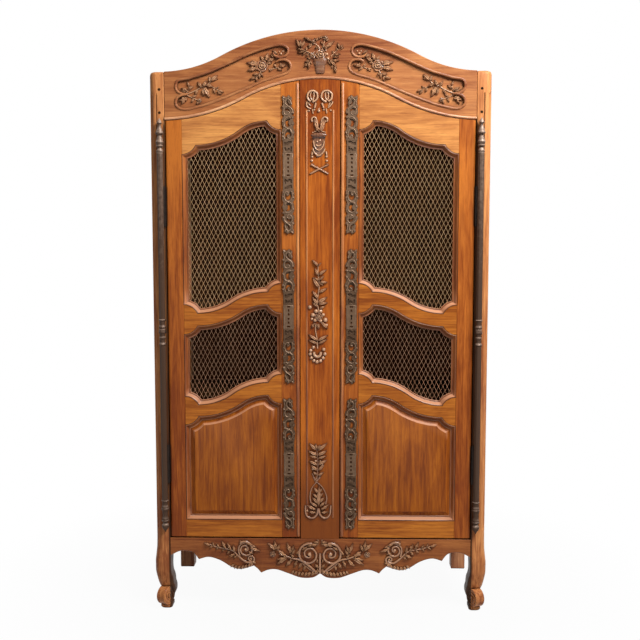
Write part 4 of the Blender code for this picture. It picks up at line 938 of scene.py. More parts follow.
for side, hand in SIDES:
    body = "door_" + side
    for word, near, far, rounding in STILES:
        member("door_%s_%s" % (side, word), body, hand, near, far, DOOR_BOTTOM, STICK_TOP, OPENINGS, STILE_WOOD,
               rounding)
    for word, low, high, holes in RAILS:
        member("door_%s_%s" % (side, word), body, hand, JOINT_INNER + FIT, JOINT_OUTER - FIT, low, high, holes,
               TOP_WOOD if word == "top_rail" else RAIL_WOOD)

# %% [markdown]
# ## Door mouldings
# A rounded moulding runs round every opening: a thin quirk, a fat ovolo, a second quirk and a narrow fillet against the
# grille. It could be a curve with a bevel profile, but that twists at the cusps. Each line of the profile is drawn
# beside the opening's outline instead, and trimmed where two stretches meet, so every mitre is exact. Faces that look
# up are marked high, and the finish makes them paler: a painted highlight where the lamp above would catch them.

# %% Outline of an opening
MOULDING_STEPS = [(0.0, 0.2), (0.4, 3.2), (1.7, 3.6), (2.3, 0.6), (3.4, 0.1), (4.9, 1.0), (6.8, 3.2), (8.8, 6.0),
                  (10.8, 9.0), (12.6, 11.8), (14.0, 13.6), (15.8, 14.8), (16.8, 14.6), (17.4, 13.2), (18.2, 12.8),
                  (19.6, 12.9), (20.4, 13.6), (20.7, 14.8), (20.7, 17.5), (0.0, 17.5), (0.0, 0.2)]
MOULDING_WIDE = 0.0205
EAR_POINTS, EDGE_POINTS, STRAIGHT_POINTS = 14, 30, 10
SHORTEST_EAR = 0.02
PLAIN_RISE = 0.42


def stretches(top, bottom):
    """The outline of a right-hand opening in smooth stretches, round from the hinge side of its top."""
    level = 2 * EAR_POINTS

    def ear_and_edge(heights, wood):
        line = shaped_edge(heights, wood, level)
        return [line[:level + 1], line[level:-level], line[-level - 1:]]

    above = ear_and_edge(top, 1)
    if isinstance(bottom, tuple):
        below = [part[::-1] for part in reversed(ear_and_edge(bottom, -1))]
    else:
        below = [[(OPENING_INNER, bottom), (OPENING_OUTER, bottom)]]
    parts = [*above, [above[-1][-1], below[0][0]], *below, [below[-1][-1], above[0][0]]]
    counts = [EAR_POINTS if SHORTEST_EAR < abs(part[0][0] - part[-1][0]) < EAR else
              EDGE_POINTS if len(part) > 2 else STRAIGHT_POINTS for part in parts]
    return list(zip(parts, counts))


print("stretches", [count for part, count in stretches(UPPER_TOP, UPPER_BOTTOM)])


# %% Lines beside an outline
def beside(line, distance):
    """A line moved to its left."""
    moved = []
    for index, (across, height) in enumerate(line):
        before, after = line[max(index - 1, 0)], line[min(index + 1, len(line) - 1)]
        way = Vector((after[0] - before[0], after[1] - before[1])).normalized()
        moved.append(Vector((across - way.y * distance, height + way.x * distance)))
    return moved


def trimmed(first, second):
    """Two lines cut off where the end of one crosses the start of the other."""
    for near in range(len(first) - 2, -1, -1):
        for far in range(len(second) - 1):
            meet = intersect_line_line_2d(first[near], first[near + 1], second[far], second[far + 1])
            if meet:
                return first[:near + 1] + [meet], [meet] + second[far + 1:]
    return first, second


def spaced(line, count):
    """Points evenly spaced along a line, without its last."""
    lengths = [0.0]
    for start, end in zip(line, line[1:]):
        lengths.append(lengths[-1] + (end - start).length)
    points = []
    at = 0
    for step in range(count):
        goal = lengths[-1] * step / count
        while lengths[at + 1] < goal:
            at += 1
        points.append(line[at].lerp(line[at + 1], (goal - lengths[at]) / max(lengths[at + 1] - lengths[at], 1e-9)))
    return points


def parallel(parts, distance):
    """A closed line inside an outline, at a distance from it."""
    lines = [beside(line, distance) for line, count in parts]
    if distance > 0:
        for index in range(len(lines)):
            after = (index + 1) % len(lines)
            lines[index], lines[after] = trimmed(lines[index], lines[after])
    return [point for line, (part, count) in zip(lines, parts) for point in spaced(line, count)]


# %% Mouldings
def run_round(name, edges, hand, front, steps):
    """A form run round an opening; each step is how far in and how deep, in millimetres."""
    parts = stretches(*edges)
    rings = [[(hand * across, front + deep * MM, height) for across, height in parallel(parts, inwards * MM)]
             for inwards, deep in steps]
    return lofted(name, rings)


def mark_rubbed_and_lit(piece, rise):
    """Note a mark at each corner for its finish: painted shade where it is low, rubbing and a painted highlight where
    high.
    """
    notes = piece.data.attributes.new("rise", "FLOAT", "POINT")
    for corner, note in zip(piece.data.vertices, notes.data):
        note.value = min(1.0, max(0.0, rise(corner)))
    return piece


def grain_by_member(piece):
    """Faces beside the stiles take the second finish, whose grain is upright."""
    for face in piece.data.polygons:
        across = abs(face.center.x)
        if across > OPENING_OUTER - MOULDING_WIDE or across < OPENING_INNER + MOULDING_WIDE:
            face.material_index = 1


for side, hand in SIDES:
    for word, edges in OPENINGS.items():
        ring = shade(run_round("ring", edges, hand, FACE, MOULDING_STEPS), 50)
        # Faces that look up are marked high: a painted highlight.
        mark_rubbed_and_lit(ring, lambda corner: PLAIN_RISE + 0.66 * max(0.0, corner.normal.z))
        fit(ring, "door_%s_%s_moulding" % (side, word), "door_" + side, "walnut", MOULD_X, MOULD_Z)
        grain_by_member(ring)
print("moulding faces", len(ring.data.polygons))

# %% [markdown]
# ## Raised panels
# The lower panel of each door is raised and fielded: a sunk border slopes up to a flat field, with a crisp little
# step between them. It is run like the mouldings, and its last line is filled to make the field.

# %% Raised panels
PANEL_STEPS = [(0.0, 21.5), (0.0, 14.9), (22.0, 14.9), (25.0, 13.8), (30.0, 11.4), (34.0, 8.6), (37.0, 6.9),
               (37.6, 6.6), (38.0, 4.2), (39.0, 3.5), (40.5, 3.3)]
# Depth in front of which the step round the field gets its painted highlight.
HIGHLIGHT_DEPTH = 0.0105


def panel_highlight(corner):
    """A painted highlight along the step round the field, where it looks up."""
    near_field = corner.co.y < FACE + HIGHLIGHT_DEPTH
    return PLAIN_RISE + (0.9 * max(0.0, corner.normal.z) if near_field else 0.0)


for side, hand in SIDES:
    field = shade(run_round("field", OPENINGS["panel"], hand, FACE, PANEL_STEPS), 20)
    mark_rubbed_and_lit(field, panel_highlight)
    fit(field, "door_%s_raised_panel" % side, "door_" + side, "walnut", FIELD_WOOD,
        stands_for=("door_%s_panel" % side,))
print("panel faces", len(field.data.polygons))

# %% [markdown]
# ## Wire grilles
# The net is woven from two sets of slanting wires that pass over and under each other in tall diamonds. A flat sheet
# with diamond holes would do from far off. Woven wires catch the light as the real net does, so each wire is a thin
# strip with a small wave, cut off at the edge of its opening. The lower nets take a darker copy of the wire: painted
# shade, where less light falls.

# %% Woven wires
DIAMOND = (0.0177, 0.0350)
WIRE_RADIUS = 0.00052
WEAVE = 0.0008
NET_DEPTH = 0.0195
HALVINGS = 10
NETS = (("upper", NET_WIRE), ("lower", SHADED_WIRE))


def inside(line, across, height):
    """Whether a point lies in a closed outline: a line from it crosses the outline an odd number of times."""
    crossings = 0
    for (x1, z1), (x2, z2) in zip(line, line[1:] + line[:1]):
        if (z1 > height) != (z2 > height) and across < x1 + (height - z1) * (x2 - x1) / (z2 - z1):
            crossings += 1
    return crossings % 2 == 1


def last_inside(line, start, end):
    """The point near the edge, between one that is inside and one that isn't."""
    for _ in range(HALVINGS):
        middle = tuple((a + b) / 2 for a, b in zip(start, end))
        if inside(line, middle[0], middle[2]):
            start = middle
        else:
            end = middle
    return start


def net(line):
    """Runs of wire that fill an outline."""
    wide, tall = DIAMOND
    left, right = min(x for x, z in line), max(x for x, z in line)
    low, high = min(z for x, z in line), max(z for x, z in line)
    steps = int((high - low) / (tall / 2)) + 2
    wires = int((right - left + steps * wide / 2) / wide) + 2
    runs = []
    for lean in (-1, 1):
        for wire in range(wires):
            run = []
            before = None
            for step in range(steps):
                across = left + wire * wide + lean * step * wide / 2 - (steps * wide / 2 if lean > 0 else 0.0)
                weave = WEAVE * lean * (-1) ** (step + wire)
                point = (across, FACE + NET_DEPTH + weave, low + step * tall / 2)
                within = inside(line, point[0], point[2])
                if within and before and not run:
                    run.append(last_inside(line, point, before))
                if within:
                    run.append(point)
                elif run:
                    run.append(last_inside(line, run[-1], point))
                    runs.append(run)
                    run = []
                before = point
            if len(run) > 1:
                runs.append(run)
    return [(run, [WIRE_RADIUS] * len(run), False) for run in runs]


# %% Nets in the doors
for side, hand in SIDES:
    for word, wire in NETS:
        mesh = cane("mesh", net(opening(*OPENINGS[word], hand)), 0)
        fit(shade(mesh), "door_%s_%s_net" % (side, word), "door_" + side, "wire", wire,
            stands_for=("door_%s_%s_grille" % (side, word),))
        print("net", side, word, len(mesh.data.polygons))

# %% [markdown]
# ## Beads and pegs
# A round bead runs up the meeting edge of each door, and two finer beads frame the field of the centre post, which has
# a thin facing. Four wooden pegs lock the cornice into the posts. Strips and short turned pins are all they need. A row
# of a bead is its distance from the middle, how far it stands out, its radius, and its lower and upper end.

# %% Beads and pegs
EDGE_BEAD = (0.0905, 0.0042, 0.0072, DOOR_BOTTOM + 0.001, under_arch(0.09, CORNICE_HEIGHT + DOOR_GAP) - 0.004)
POST_BEAD = (0.0535, 0.0034, 0.0042, 0.392, 2.064)
STRIP_ENDS = ((0.3, 0.0), (0.75, 0.3), (1.0, 1.0))
FACING_HALF, FACING_LOW = 0.0797, 0.3045
FACING_FRONT, FACING_BACK = FACE - 0.0003, FACE + 0.0004
PEG = ((5.4, -4.0), (5.4, 0.6), (4.0, 1.1), (0.0, 1.2))
PEG_X, PEG_HEIGHTS = 0.645, (2.146, 2.054)


def strip(name, hand, across, proud, radius, low, high):
    """An upright half-round strip with rounded ends."""
    stops = [(low + radius * length, share) for share, length in STRIP_ENDS]
    stops += [(high - radius * length, share) for share, length in reversed(STRIP_ENDS)]
    line = [(hand * across, FACE + radius - proud, height) for height, share in stops]
    return shade(cane(name, [(line, [radius * share for height, share in stops], False)], 4), 50)


def peg(hand, height):
    """A short pin, turned to point out of the front."""
    pin = turned("pin", [(radius * MM, rise * MM) for radius, rise in PEG], (0.0, 0.0), 14)
    place = Matrix.Translation((hand * PEG_X, FACE, height))
    pin.data.transform(place @ Matrix.Rotation(math.pi / 2, 4, "X"))
    return pin


for side, hand in SIDES:
    fit(strip("edge", hand, *EDGE_BEAD), "door_%s_edge_bead" % side, "door_" + side, "walnut", BEAD_Z)
foot = [(FACING_HALF, FACING_LOW), (-FACING_HALF, FACING_LOW)]
facing = board("facing", arch(FACING_HALF, CORNICE_HEIGHT + FIT, 12) + foot, FACING_FRONT, FACING_BACK)
fit(facing, "centre_post_facing", "root", "walnut", CENTRE_WOOD)
beads = [strip("bead", hand, *POST_BEAD) for side, hand in SIDES]
fit(together("beads", beads), "centre_post_beads", "root", "walnut", BEAD_Z)
pegs = [peg(hand, height) for side, hand in SIDES for height in PEG_HEIGHTS]
fit(shade(together("pegs", pegs), 40), "cornice_pegs", "root", "walnut", SHADED_INNER_X)
print("post beads", len(beads), "pegs", len(pegs))

# %% [markdown]
# ## Hinges
# Each door hangs on one tall iron hinge in front of the post. Its faceted barrel has turned collars in the middle, and
# the knuckles at the ends carry finials like small balusters. They are lofted from tables of radius and height, round
# in the turned parts and eight-sided along the barrel. Flat leaves join the barrel to the door and the knuckles to the
# post.

# %% Tables of the hinges
HINGE_X, HINGE_Y = 0.643, -0.2754
BARREL_ENDS = (0.470, 1.894)
COLLAR_MIDDLE = 1.164
BARREL = 12.4
BARREL_TIP, BARREL_SLOPE = 0.0116, 0.004
UPPER_TIP = ((10.0, 0.4), (12.8, 0.4), (13.4, 2.0), (13.2, 5.0), (12.2, 9.0), (10.4, 12.5), (8.8, 15.5), (8.2, 19.0),
             (8.8, 21.5), (12.4, 22.6), (13.8, 24.0), (13.8, 27.6), (12.6, 29.0), (12.2, 31.5), (13.8, 33.4),
             (15.3, 36.5), (15.4, 41.0), (14.8, 44.0), (13.4, 46.0), (12.6, 49.0), (11.6, 54.0), (10.2, 59.5),
             (8.8, 64.5), (8.4, 68.0), (9.4, 70.4), (13.6, 71.8), (15.0, 73.6), (15.2, 77.5), (14.4, 80.5),
             (13.2, 82.4), (12.4, 86.5), (10.6, 92.0), (8.2, 98.0), (6.4, 103.5), (5.8, 109.5), (6.2, 112.8),
             (9.6, 114.2), (10.6, 116.0), (10.0, 119.0), (7.8, 123.5), (5.0, 128.5), (2.4, 133.5), (0.0, 137.0))
LOWER_TIP = ((10.0, 0.4), (13.6, 0.4), (14.6, 1.6), (14.4, 3.6), (12.2, 5.0), (11.6, 9.0), (11.2, 15.0),
             (11.0, 18.0), (12.0, 22.0), (13.6, 27.0), (14.6, 30.0), (13.4, 32.0), (14.6, 33.6), (15.4, 36.0),
             (15.4, 40.0), (14.4, 42.4), (12.4, 44.0), (11.4, 50.0), (11.0, 58.0), (10.6, 66.0), (11.4, 71.0),
             (13.0, 77.0), (14.2, 81.0), (13.0, 83.4), (14.8, 85.0), (15.2, 87.4), (14.2, 90.0), (10.6, 92.0),
             (9.4, 95.0), (9.6, 98.0), (12.4, 101.5), (14.2, 106.0), (14.6, 110.5), (13.8, 115.5), (11.2, 120.5),
             (7.4, 125.0), (4.2, 129.0), (2.0, 133.5), (0.0, 136.5))
COLLARS = ((BARREL, 61.0), (BARREL, 59.0), (14.8, 57.4), (14.9, 54.0), (13.0, 52.4), (11.6, 50.0), (11.2, 42.0),
           (11.0, 36.5), (12.0, 33.5), (13.6, 29.5), (14.8, 26.0), (14.2, 24.2), (11.6, 22.4), (11.4, 20.8),
           (13.0, 19.0), (13.8, 14.0), (14.8, 9.0), (15.4, 6.0), (15.4, 3.4), (14.0, 1.6), (11.2, 0.2), (10.6, -3.0),
           (10.8, -10.0), (11.4, -12.4), (12.8, -14.0), (12.9, -20.4), (11.8, -22.4), (10.8, -24.4), (10.6, -33.0),
           (11.2, -36.4), (12.8, -40.0), (14.8, -44.0), (14.6, -46.4), (12.8, -47.6), (BARREL, -48.6),
           (BARREL, -50.6))
LEAF_HEIGHTS = (0.620, 1.680)
LEAF_HALF = 0.08
LEAF_X, LEAF_FRONT, LEAF_BACK = 0.622, HINGE_Y + 0.0085, FACE + 0.026
LEAF_PLATES = ((0.624, LEAF_BACK), (0.638, HINGE_Y + 0.0105))
LEAF_LIMIT = 0.6303
TIP_LEAF_HALF, TIP_LEAF_ENDS = 0.001, (0.002, 0.060)
HINGE_STEPS = 32
HALF_FLAT = math.pi / 8
print("barrel", round(BARREL_ENDS[1] - BARREL_ENDS[0], 3), "finials", UPPER_TIP[-1][1], LOWER_TIP[-1][1])


# %% Barrels and finials
def hinge_ring(hand, radius, height, facets):
    """One level of a hinge, round or with eight flats."""
    ring = []
    for step in range(HINGE_STEPS):
        turn = 2 * math.pi * step / HINGE_STEPS
        reach = radius
        if facets:
            reach *= math.cos(HALF_FLAT) / math.cos((turn + HALF_FLAT) % (2 * HALF_FLAT) - HALF_FLAT)
        ring.append((hand * HINGE_X + reach * math.cos(turn), HINGE_Y + reach * math.sin(turn), height))
    return ring


def lit_above(piece):
    """Iron marked bright where it faces up, for a painted highlight with some rubbing."""
    return mark_rubbed_and_lit(piece, lambda corner: 0.15 + 1.1 * corner.normal.z)


for side, hand in SIDES:
    low, high = BARREL_ENDS
    rings = [hinge_ring(hand, BARREL_TIP, low, False), hinge_ring(hand, BARREL * MM, low + BARREL_SLOPE, True)]
    rings += [hinge_ring(hand, radius * MM, COLLAR_MIDDLE + offset * MM, radius == BARREL)
              for radius, offset in reversed(COLLARS)]
    rings += [hinge_ring(hand, BARREL * MM, high - BARREL_SLOPE, True), hinge_ring(hand, BARREL_TIP, high, False)]
    parts = [lofted("barrel", rings)]
    for middle in LEAF_HEIGHTS:
        for far, back in LEAF_PLATES:
            left, right = sorted((hand * LEAF_X, hand * far))
            parts.append(block("leaf", (left, LEAF_FRONT, middle - LEAF_HALF), (right, back, middle + LEAF_HALF)))
    barrel = lit_above(shade(together("barrel", parts), 24))
    fit(barrel, "hinge_barrel_%s_iron" % side, "door_" + side, "iron", HINGE_IRON, SHADED_LEAF_IRON,
        stands_for=("hinge_barrel_" + side,))
    # Faces behind the barrel take the nearly black leaf iron: painted shade in the gap.
    for face in barrel.data.polygons:
        face.material_index = int(abs(face.center.x) < LEAF_LIMIT)
    for word, end, way, table in (("lower", low, -1, LOWER_TIP), ("upper", high, 1, UPPER_TIP)):
        rings = [hinge_ring(hand, radius * MM, end + way * offset * MM, False) for radius, offset in table]
        tip = lofted("tip", rings)
        bottom, top = sorted(end + way * reach for reach in TIP_LEAF_ENDS)
        leaf = block("leaf", (hand * HINGE_X - TIP_LEAF_HALF, HINGE_Y, bottom),
                     (hand * HINGE_X + TIP_LEAF_HALF, LEAF_BACK, top))
        finial = lit_above(shade(together("tip", [tip, leaf]), 30))
        fit(finial, "hinge_%s_finial_%s" % (word, side), "root", "iron", HINGE_IRON,
            stands_for=("hinge_%s_knuckle_%s" % (word, side),))
print("barrel faces", len(barrel.data.polygons), "finial faces", len(finial.data.polygons))

# %% [markdown]
# ## Carver's forms
# All the carving is put together from four forms: a plain leaf, a lobed leaf, a rose and a berry. A sculpted relief
# would follow real carving more freely. A few simple forms, each turned and stretched from its stalk to its tip, keep
# the mesh small and every leaf crisp. A row of the rose is its radius, its rise, how many petals it has and how far
# they are turned.

# %% Leaf, rose and berry
LEAF_ROWS = 9
VEIN = ((-1.0, 0.04), (-0.78, 0.66), (-0.38, 1.0), (0.0, 0.74), (0.38, 1.0), (0.78, 0.66), (1.0, 0.04))
ROSE = ((1.00, 0.10, 5, 0.0), (0.97, 0.46, 5, 0.0), (0.80, 0.50, 5, 0.0), (0.66, 0.20, 5, 0.3), (0.60, 0.26, 3, 0.6),
        (0.56, 0.74, 3, 0.6), (0.44, 0.78, 3, 0.6), (0.36, 0.38, 3, 0.3), (0.28, 0.42, 2, 0.0), (0.24, 0.88, 2, 0.0),
        (0.10, 0.96, 2, 0.0), (0.0, 0.90, 2, 0.0))
BERRY = ((0.98, 0.6), (1.0, -0.1), (0.86, -0.55), (0.5, -0.9), (0.0, -1.0))
ROOT = 0.5
ROSE_STEPS, BERRY_STEPS = 40, 10


def leaf_form(name, lobes, bend):
    """A leaf one metre long on its back, half a metre to each side, its vein sunk between two swelling halves."""
    rings = []
    for row in range(LEAF_ROWS):
        part = row / (LEAF_ROWS - 1)
        width = 0.5 * max(0.03, math.sin(math.pi * part ** 0.72) ** 0.8)
        if lobes:
            width *= 0.80 + 0.34 * math.cos(2 * math.pi * (lobes * part - 0.25)) * (1 - 0.4 * part)
        swell = 0.42 + 0.58 * math.sin(math.pi * min(1.0, 0.12 + 0.98 * part)) ** 0.7
        sway = bend * part * part
        ring = [(part, -swell * rise, sway + across * width) for across, rise in VEIN]
        rings.append(ring + [(part, ROOT, sway + width), (part, ROOT, sway - width)])
    return mark_rubbed_and_lit(shade(lofted(name, rings), 60), lambda corner: -corner.co.y)


def rose_form(name):
    """A full-blown rose of radius one: five outer petals, three inner ones and a bud."""
    turns = [2 * math.pi * step / ROSE_STEPS for step in range(ROSE_STEPS)]
    rings = [[(0.98 * math.cos(turn), ROOT, 0.98 * math.sin(turn)) for turn in turns]]
    for radius, rise, petals, shift in ROSE:
        ring = []
        for turn in turns:
            petal = abs(math.cos(petals * turn / 2 + shift))
            reach = radius * (0.80 + 0.20 * petal ** 0.6)
            ring.append((reach * math.cos(turn), -rise * (0.72 + 0.28 * petal), reach * math.sin(turn)))
        rings.append(ring)
    return mark_rubbed_and_lit(shade(lofted(name, rings), 50), lambda corner: -1.2 * corner.co.y)


def berry_form(name):
    """A berry of radius one, its back sunk in the ground."""
    turns = [2 * math.pi * step / BERRY_STEPS for step in range(BERRY_STEPS)]
    rings = [[(radius * math.cos(turn), rise, radius * math.sin(turn)) for turn in turns] for radius, rise in BERRY]
    return mark_rubbed_and_lit(shade(lofted(name, rings), 70), lambda corner: -corner.co.y)


# Each form is marked by how high it stands: the finish paints its low edges with shade and its tops pale, rubbing with
# a painted highlight.
FORMS = {"leaf": [leaf_form("leaf", 0, 0.16), leaf_form("leaf", 0, -0.16)],
         "lobed": [leaf_form("lobed", 2.6, 0.14), leaf_form("lobed", 2.6, -0.14)],
         "rose": [rose_form("rose")], "berry": [berry_form("berry")]}
print("forms", {kind: len(forms[0].data.polygons) for kind, forms in FORMS.items()})


# %% Carving from rows
def tapered(begin, end, count):
    """Thicknesses along a run, given at its ends in millimetres."""
    return [(begin + (end - begin) * step / (count - 1)) * MM for step in range(count)]


def carve(name, items, ground, flips, relief=0.012, stem_light=1.0):
    """Carved work on its ground, from groups of forms in millimetres across and up."""
    rows = [(kind, *row) for kind, *group in items for row in group]
    parts = []
    runs = []
    for flip in flips:
        for number, (kind, *row) in enumerate(rows):
            if kind == "stem":
                points, begin, end = row
                line = flowing([(flip * across * MM, height * MM) for across, height in points], 5)
                thick = tapered(begin, end, len(line))
                raised = [(across, ground - 0.7 * radius, height) for (across, height), radius in zip(line, thick)]
                runs.append((raised, thick, False))
                continue
            form = FORMS[kind][number % len(FORMS[kind])]
            if kind in ("leaf", "lobed"):
                x0, z0, x1, z1, share = row
                way = Vector((flip * (x1 - x0), z1 - z0)) * MM
                wide = share * way.length * flip
                high = min(relief, 0.42 * way.length)
                place = Matrix(((way.x, 0, -way.y * wide / way.length, flip * x0 * MM), (0, high, 0, ground),
                                (way.y, 0, way.x * wide / way.length, z0 * MM), (0, 0, 0, 1)))
            else:
                across, height, radius = row
                high = radius * MM * (0.95 if kind == "berry" else max(0.5, relief / radius / MM))
                place = Matrix.Translation((flip * across * MM, ground, height * MM)) @ Matrix.Diagonal(
                    (flip * radius * MM, high, radius * MM, 1.0))
            parts.append(copy_of(form, place))
    if runs:
        stems = shade(cane("stems", runs, 2), 70)
        # Stems are marked by how much they face the front, times their stem light: painted highlight in front, painted
        # shade at the sides.
        parts.append(mark_rubbed_and_lit(stems, lambda corner: stem_light * (0.15 - corner.normal.y)))
    return together(name, parts)


# %% [markdown]
# ## Carving on the cornice
# In each cartouche a spray of leaves grows from the cusp at the outer end, and a rose with leaves fills the inner end.
# A pot of flowers stands in the middle of the arch. Each group below names a form and lists its rows, in millimetres
# from the middle and from the floor, as measured on the left. A leaf has its start, its tip and its share of width, a
# rose or berry its middle and radius, and a stem its line and its thickness at both ends.

# %% Rows for the cornice
SPRAY = (
    ("stem", ([(-543, 2126), (-511, 2137), (-477, 2154), (-448, 2168), (-429, 2187), (-418, 2199)], 2.4, 1.4)),
    ("leaf", (-436, 2179, -412, 2204, 0.5), (-441, 2175, -442, 2198, 0.5), (-429, 2186, -409, 2187, 0.45)),
    ("lobed", (-455, 2165, -429, 2153, 0.55), (-475, 2154, -492, 2176, 0.5)), ("leaf", (-468, 2157, -454, 2181, 0.5)),
    ("lobed", (-465, 2153, -440, 2115, 0.55)),
    ("leaf", (-470, 2147, -467, 2119, 0.45), (-492, 2146, -499, 2123, 0.45)),
    ("stem", ([(-451, 2163), (-424, 2152), (-403, 2140)], 2, 1.2)),
    ("leaf", (-407, 2142, -384, 2136, 0.42), (-411, 2140, -396, 2124, 0.45), (-418, 2149, -404, 2158, 0.42),
     (-427, 2151, -421, 2130, 0.42)), ("stem", ([(-538, 2125), (-512, 2113), (-488, 2103)], 2.2, 1.6)),
    ("rose", (-484, 2102, 9)),
    ("leaf", (-512, 2115, -496, 2126, 0.5), (-507, 2109, -518, 2094, 0.5), (-490, 2102, -493, 2085, 0.45)),
    ("lobed", (-533, 2109, -569, 2104, 0.62), (-543, 2106, -556, 2085, 0.5)), ("leaf", (-538, 2113, -560, 2115, 0.4)),
    ("stem", ([(-539, 2129), (-530, 2142), (-525, 2160)], 2, 1.2)), ("lobed", (-532, 2139, -556, 2154, 0.5)),
    ("leaf", (-528, 2147, -508, 2161, 0.5), (-525, 2159, -531, 2178, 0.45), (-536, 2135, -562, 2141, 0.4)))
ROSE_SPRAY = (
    ("rose", (-231, 2238, 24)), ("lobed", (-249, 2241, -294, 2249, 0.5), (-249, 2230, -293, 2222, 0.5)),
    ("leaf", (-251, 2246, -275, 2257, 0.5)), ("lobed", (-218, 2258, -205, 2288, 0.55), (-210, 2253, -181, 2270, 0.5)),
    ("leaf", (-226, 2259, -237, 2278, 0.5), (-213, 2249, -192, 2249, 0.5)),
    ("stem", ([(-235, 2218), (-245, 2204), (-262, 2191), (-277, 2185)], 2.4, 1.2)),
    ("lobed", (-240, 2211, -225, 2195, 0.5)), ("leaf", (-246, 2203, -269, 2206, 0.45), (-257, 2193, -283, 2184, 0.42),
     (-254, 2196, -256, 2176, 0.5), (-243, 2207, -241, 2186, 0.45)),
    ("stem", ([(-205, 2224), (-172, 2230), (-141, 2240)], 2.2, 1.2)),
    ("leaf", (-189, 2228, -202, 2214, 0.45), (-175, 2231, -183, 2248, 0.45)),
    ("lobed", (-163, 2233, -133, 2243, 0.5)),
    ("leaf", (-169, 2230, -153, 2217, 0.48), (-156, 2236, -158, 2251, 0.45)),
    ("lobed", (-172, 2283, -189, 2300, 0.5)), ("leaf", (-182, 2270, -199, 2283, 0.45)),
    ("berry", (-156, 2285, 5), (-148, 2295, 4), (-163, 2294, 3.5)))
BASKET = (
    ("rose", (4, 2280, 21), (-29, 2277, 13), (-27, 2328, 9), (21, 2344, 9)),
    ("berry", (28, 2281, 6.5), (32, 2264, 6), (23, 2297, 5)),
    ("stem", ([(1, 2288), (-5, 2309), (-21, 2323)], 2.2, 1.4), ([(6, 2291), (14, 2316), (20, 2340)], 2.2, 1.4)),
    ("lobed", (-30, 2320, -51, 2310, 0.5), (-34, 2331, -63, 2348, 0.35)),
    ("leaf", (-35, 2318, -44, 2301, 0.5), (-17, 2331, -5, 2346, 0.4)), ("lobed", (-5, 2340, 14, 2352, 0.42)),
    ("leaf", (-14, 2335, -21, 2344, 0.4)), ("lobed", (17, 2300, 58, 2335, 0.32)),
    ("leaf", (24, 2331, 38, 2341, 0.45)), ("lobed", (14, 2318, 1, 2331, 0.45), (-5, 2310, -23, 2303, 0.5)),
    ("leaf", (9, 2310, 26, 2310, 0.45)), ("stem", ([(-35, 2285), (-56, 2293), (-75, 2301)], 2.2, 1.4)),
    ("leaf", (-78, 2307, -97, 2340, 0.3), (-76, 2310, -77, 2338, 0.3), (-75, 2307, -59, 2337, 0.3),
     (-65, 2295, -93, 2305, 0.35)), ("lobed", (-59, 2291, -90, 2285, 0.35), (-55, 2289, -73, 2277, 0.4)),
    ("leaf", (-53, 2294, -56, 2311, 0.45)), ("lobed", (-44, 2285, -59, 2270, 0.45)),
    ("stem", ([(44, 2273), (59, 2288), (77, 2304)], 2.2, 1.4)),
    ("leaf", (77, 2303, 71, 2326, 0.32), (79, 2304, 91, 2319, 0.35), (81, 2300, 96, 2306, 0.35),
     (56, 2283, 47, 2294, 0.5)), ("lobed", (56, 2276, 82, 2281, 0.4)), ("leaf", (68, 2294, 65, 2310, 0.4)),
    ("lobed", (52, 2270, 76, 2268, 0.42), (-35, 2262, -53, 2267, 0.5), (-37, 2257, -63, 2251, 0.45),
     (-43, 2254, -44, 2222, 0.4), (-47, 2248, -65, 2230, 0.45)), ("leaf", (-40, 2254, -31, 2243, 0.5)),
    ("lobed", (33, 2257, 41, 2237, 0.5), (38, 2258, 68, 2230, 0.38), (46, 2255, 78, 2254, 0.4)),
    ("leaf", (52, 2239, 46, 2222, 0.45)), ("lobed", (59, 2233, 62, 2206, 0.45)))
POT = ((0.0, 2206.0), (16.5, 2207.0), (18.0, 2212.0), (21.0, 2236.0), (21.5, 2238.0), (24.0, 2239.0), (28.0, 2259.0),
       (27.0, 2262.0), (0.0, 2263.0))
POT_FLAT = 0.34
ALONE, MIRRORED = (1,), (1, -1)
print("cornice groups", len(SPRAY) + len(ROSE_SPRAY) + len(BASKET))


# %% Carving on the cornice
def half_turned(name, profile, across, flat):
    """A turned form in relief: squeezed in depth, with its back half in the wood."""
    form = turned(name, [(radius * MM, height * MM) for radius, height in profile], (0.0, 0.0), 32)
    form.data.transform(Matrix.Translation((across * MM, FACE, 0.0)) @ Matrix.Diagonal((1.0, flat, 1.0, 1.0)))
    # Marked by how much it faces the front: its sides take painted shade.
    return mark_rubbed_and_lit(shade(form, 40), lambda corner: -0.26 * corner.normal.y)


sprays = carve("sprays", SPRAY + ROSE_SPRAY, FACE + CARTOUCHE_DEPTH, MIRRORED)
fit(sprays, "cartouche_sprays", "root", "walnut", CARVED_X)
flowers = together("flowers", [half_turned("pot", POT, 0.0, POT_FLAT), carve("basket", BASKET, FACE, ALONE)])
fit(flowers, "cornice_flower_pot", "root", "walnut", CARVED_X)
print("cornice carving", len(sprays.data.polygons) + len(flowers.data.polygons))

# %% [markdown]
# ## Carving on the centre post
# The post carries three groups: two loops of ribbon over an urn with swags at the top, a flowering branch with a round
# festoon in the middle, and a tied bouquet over a scroll at the foot. They stand on the flat of the post.

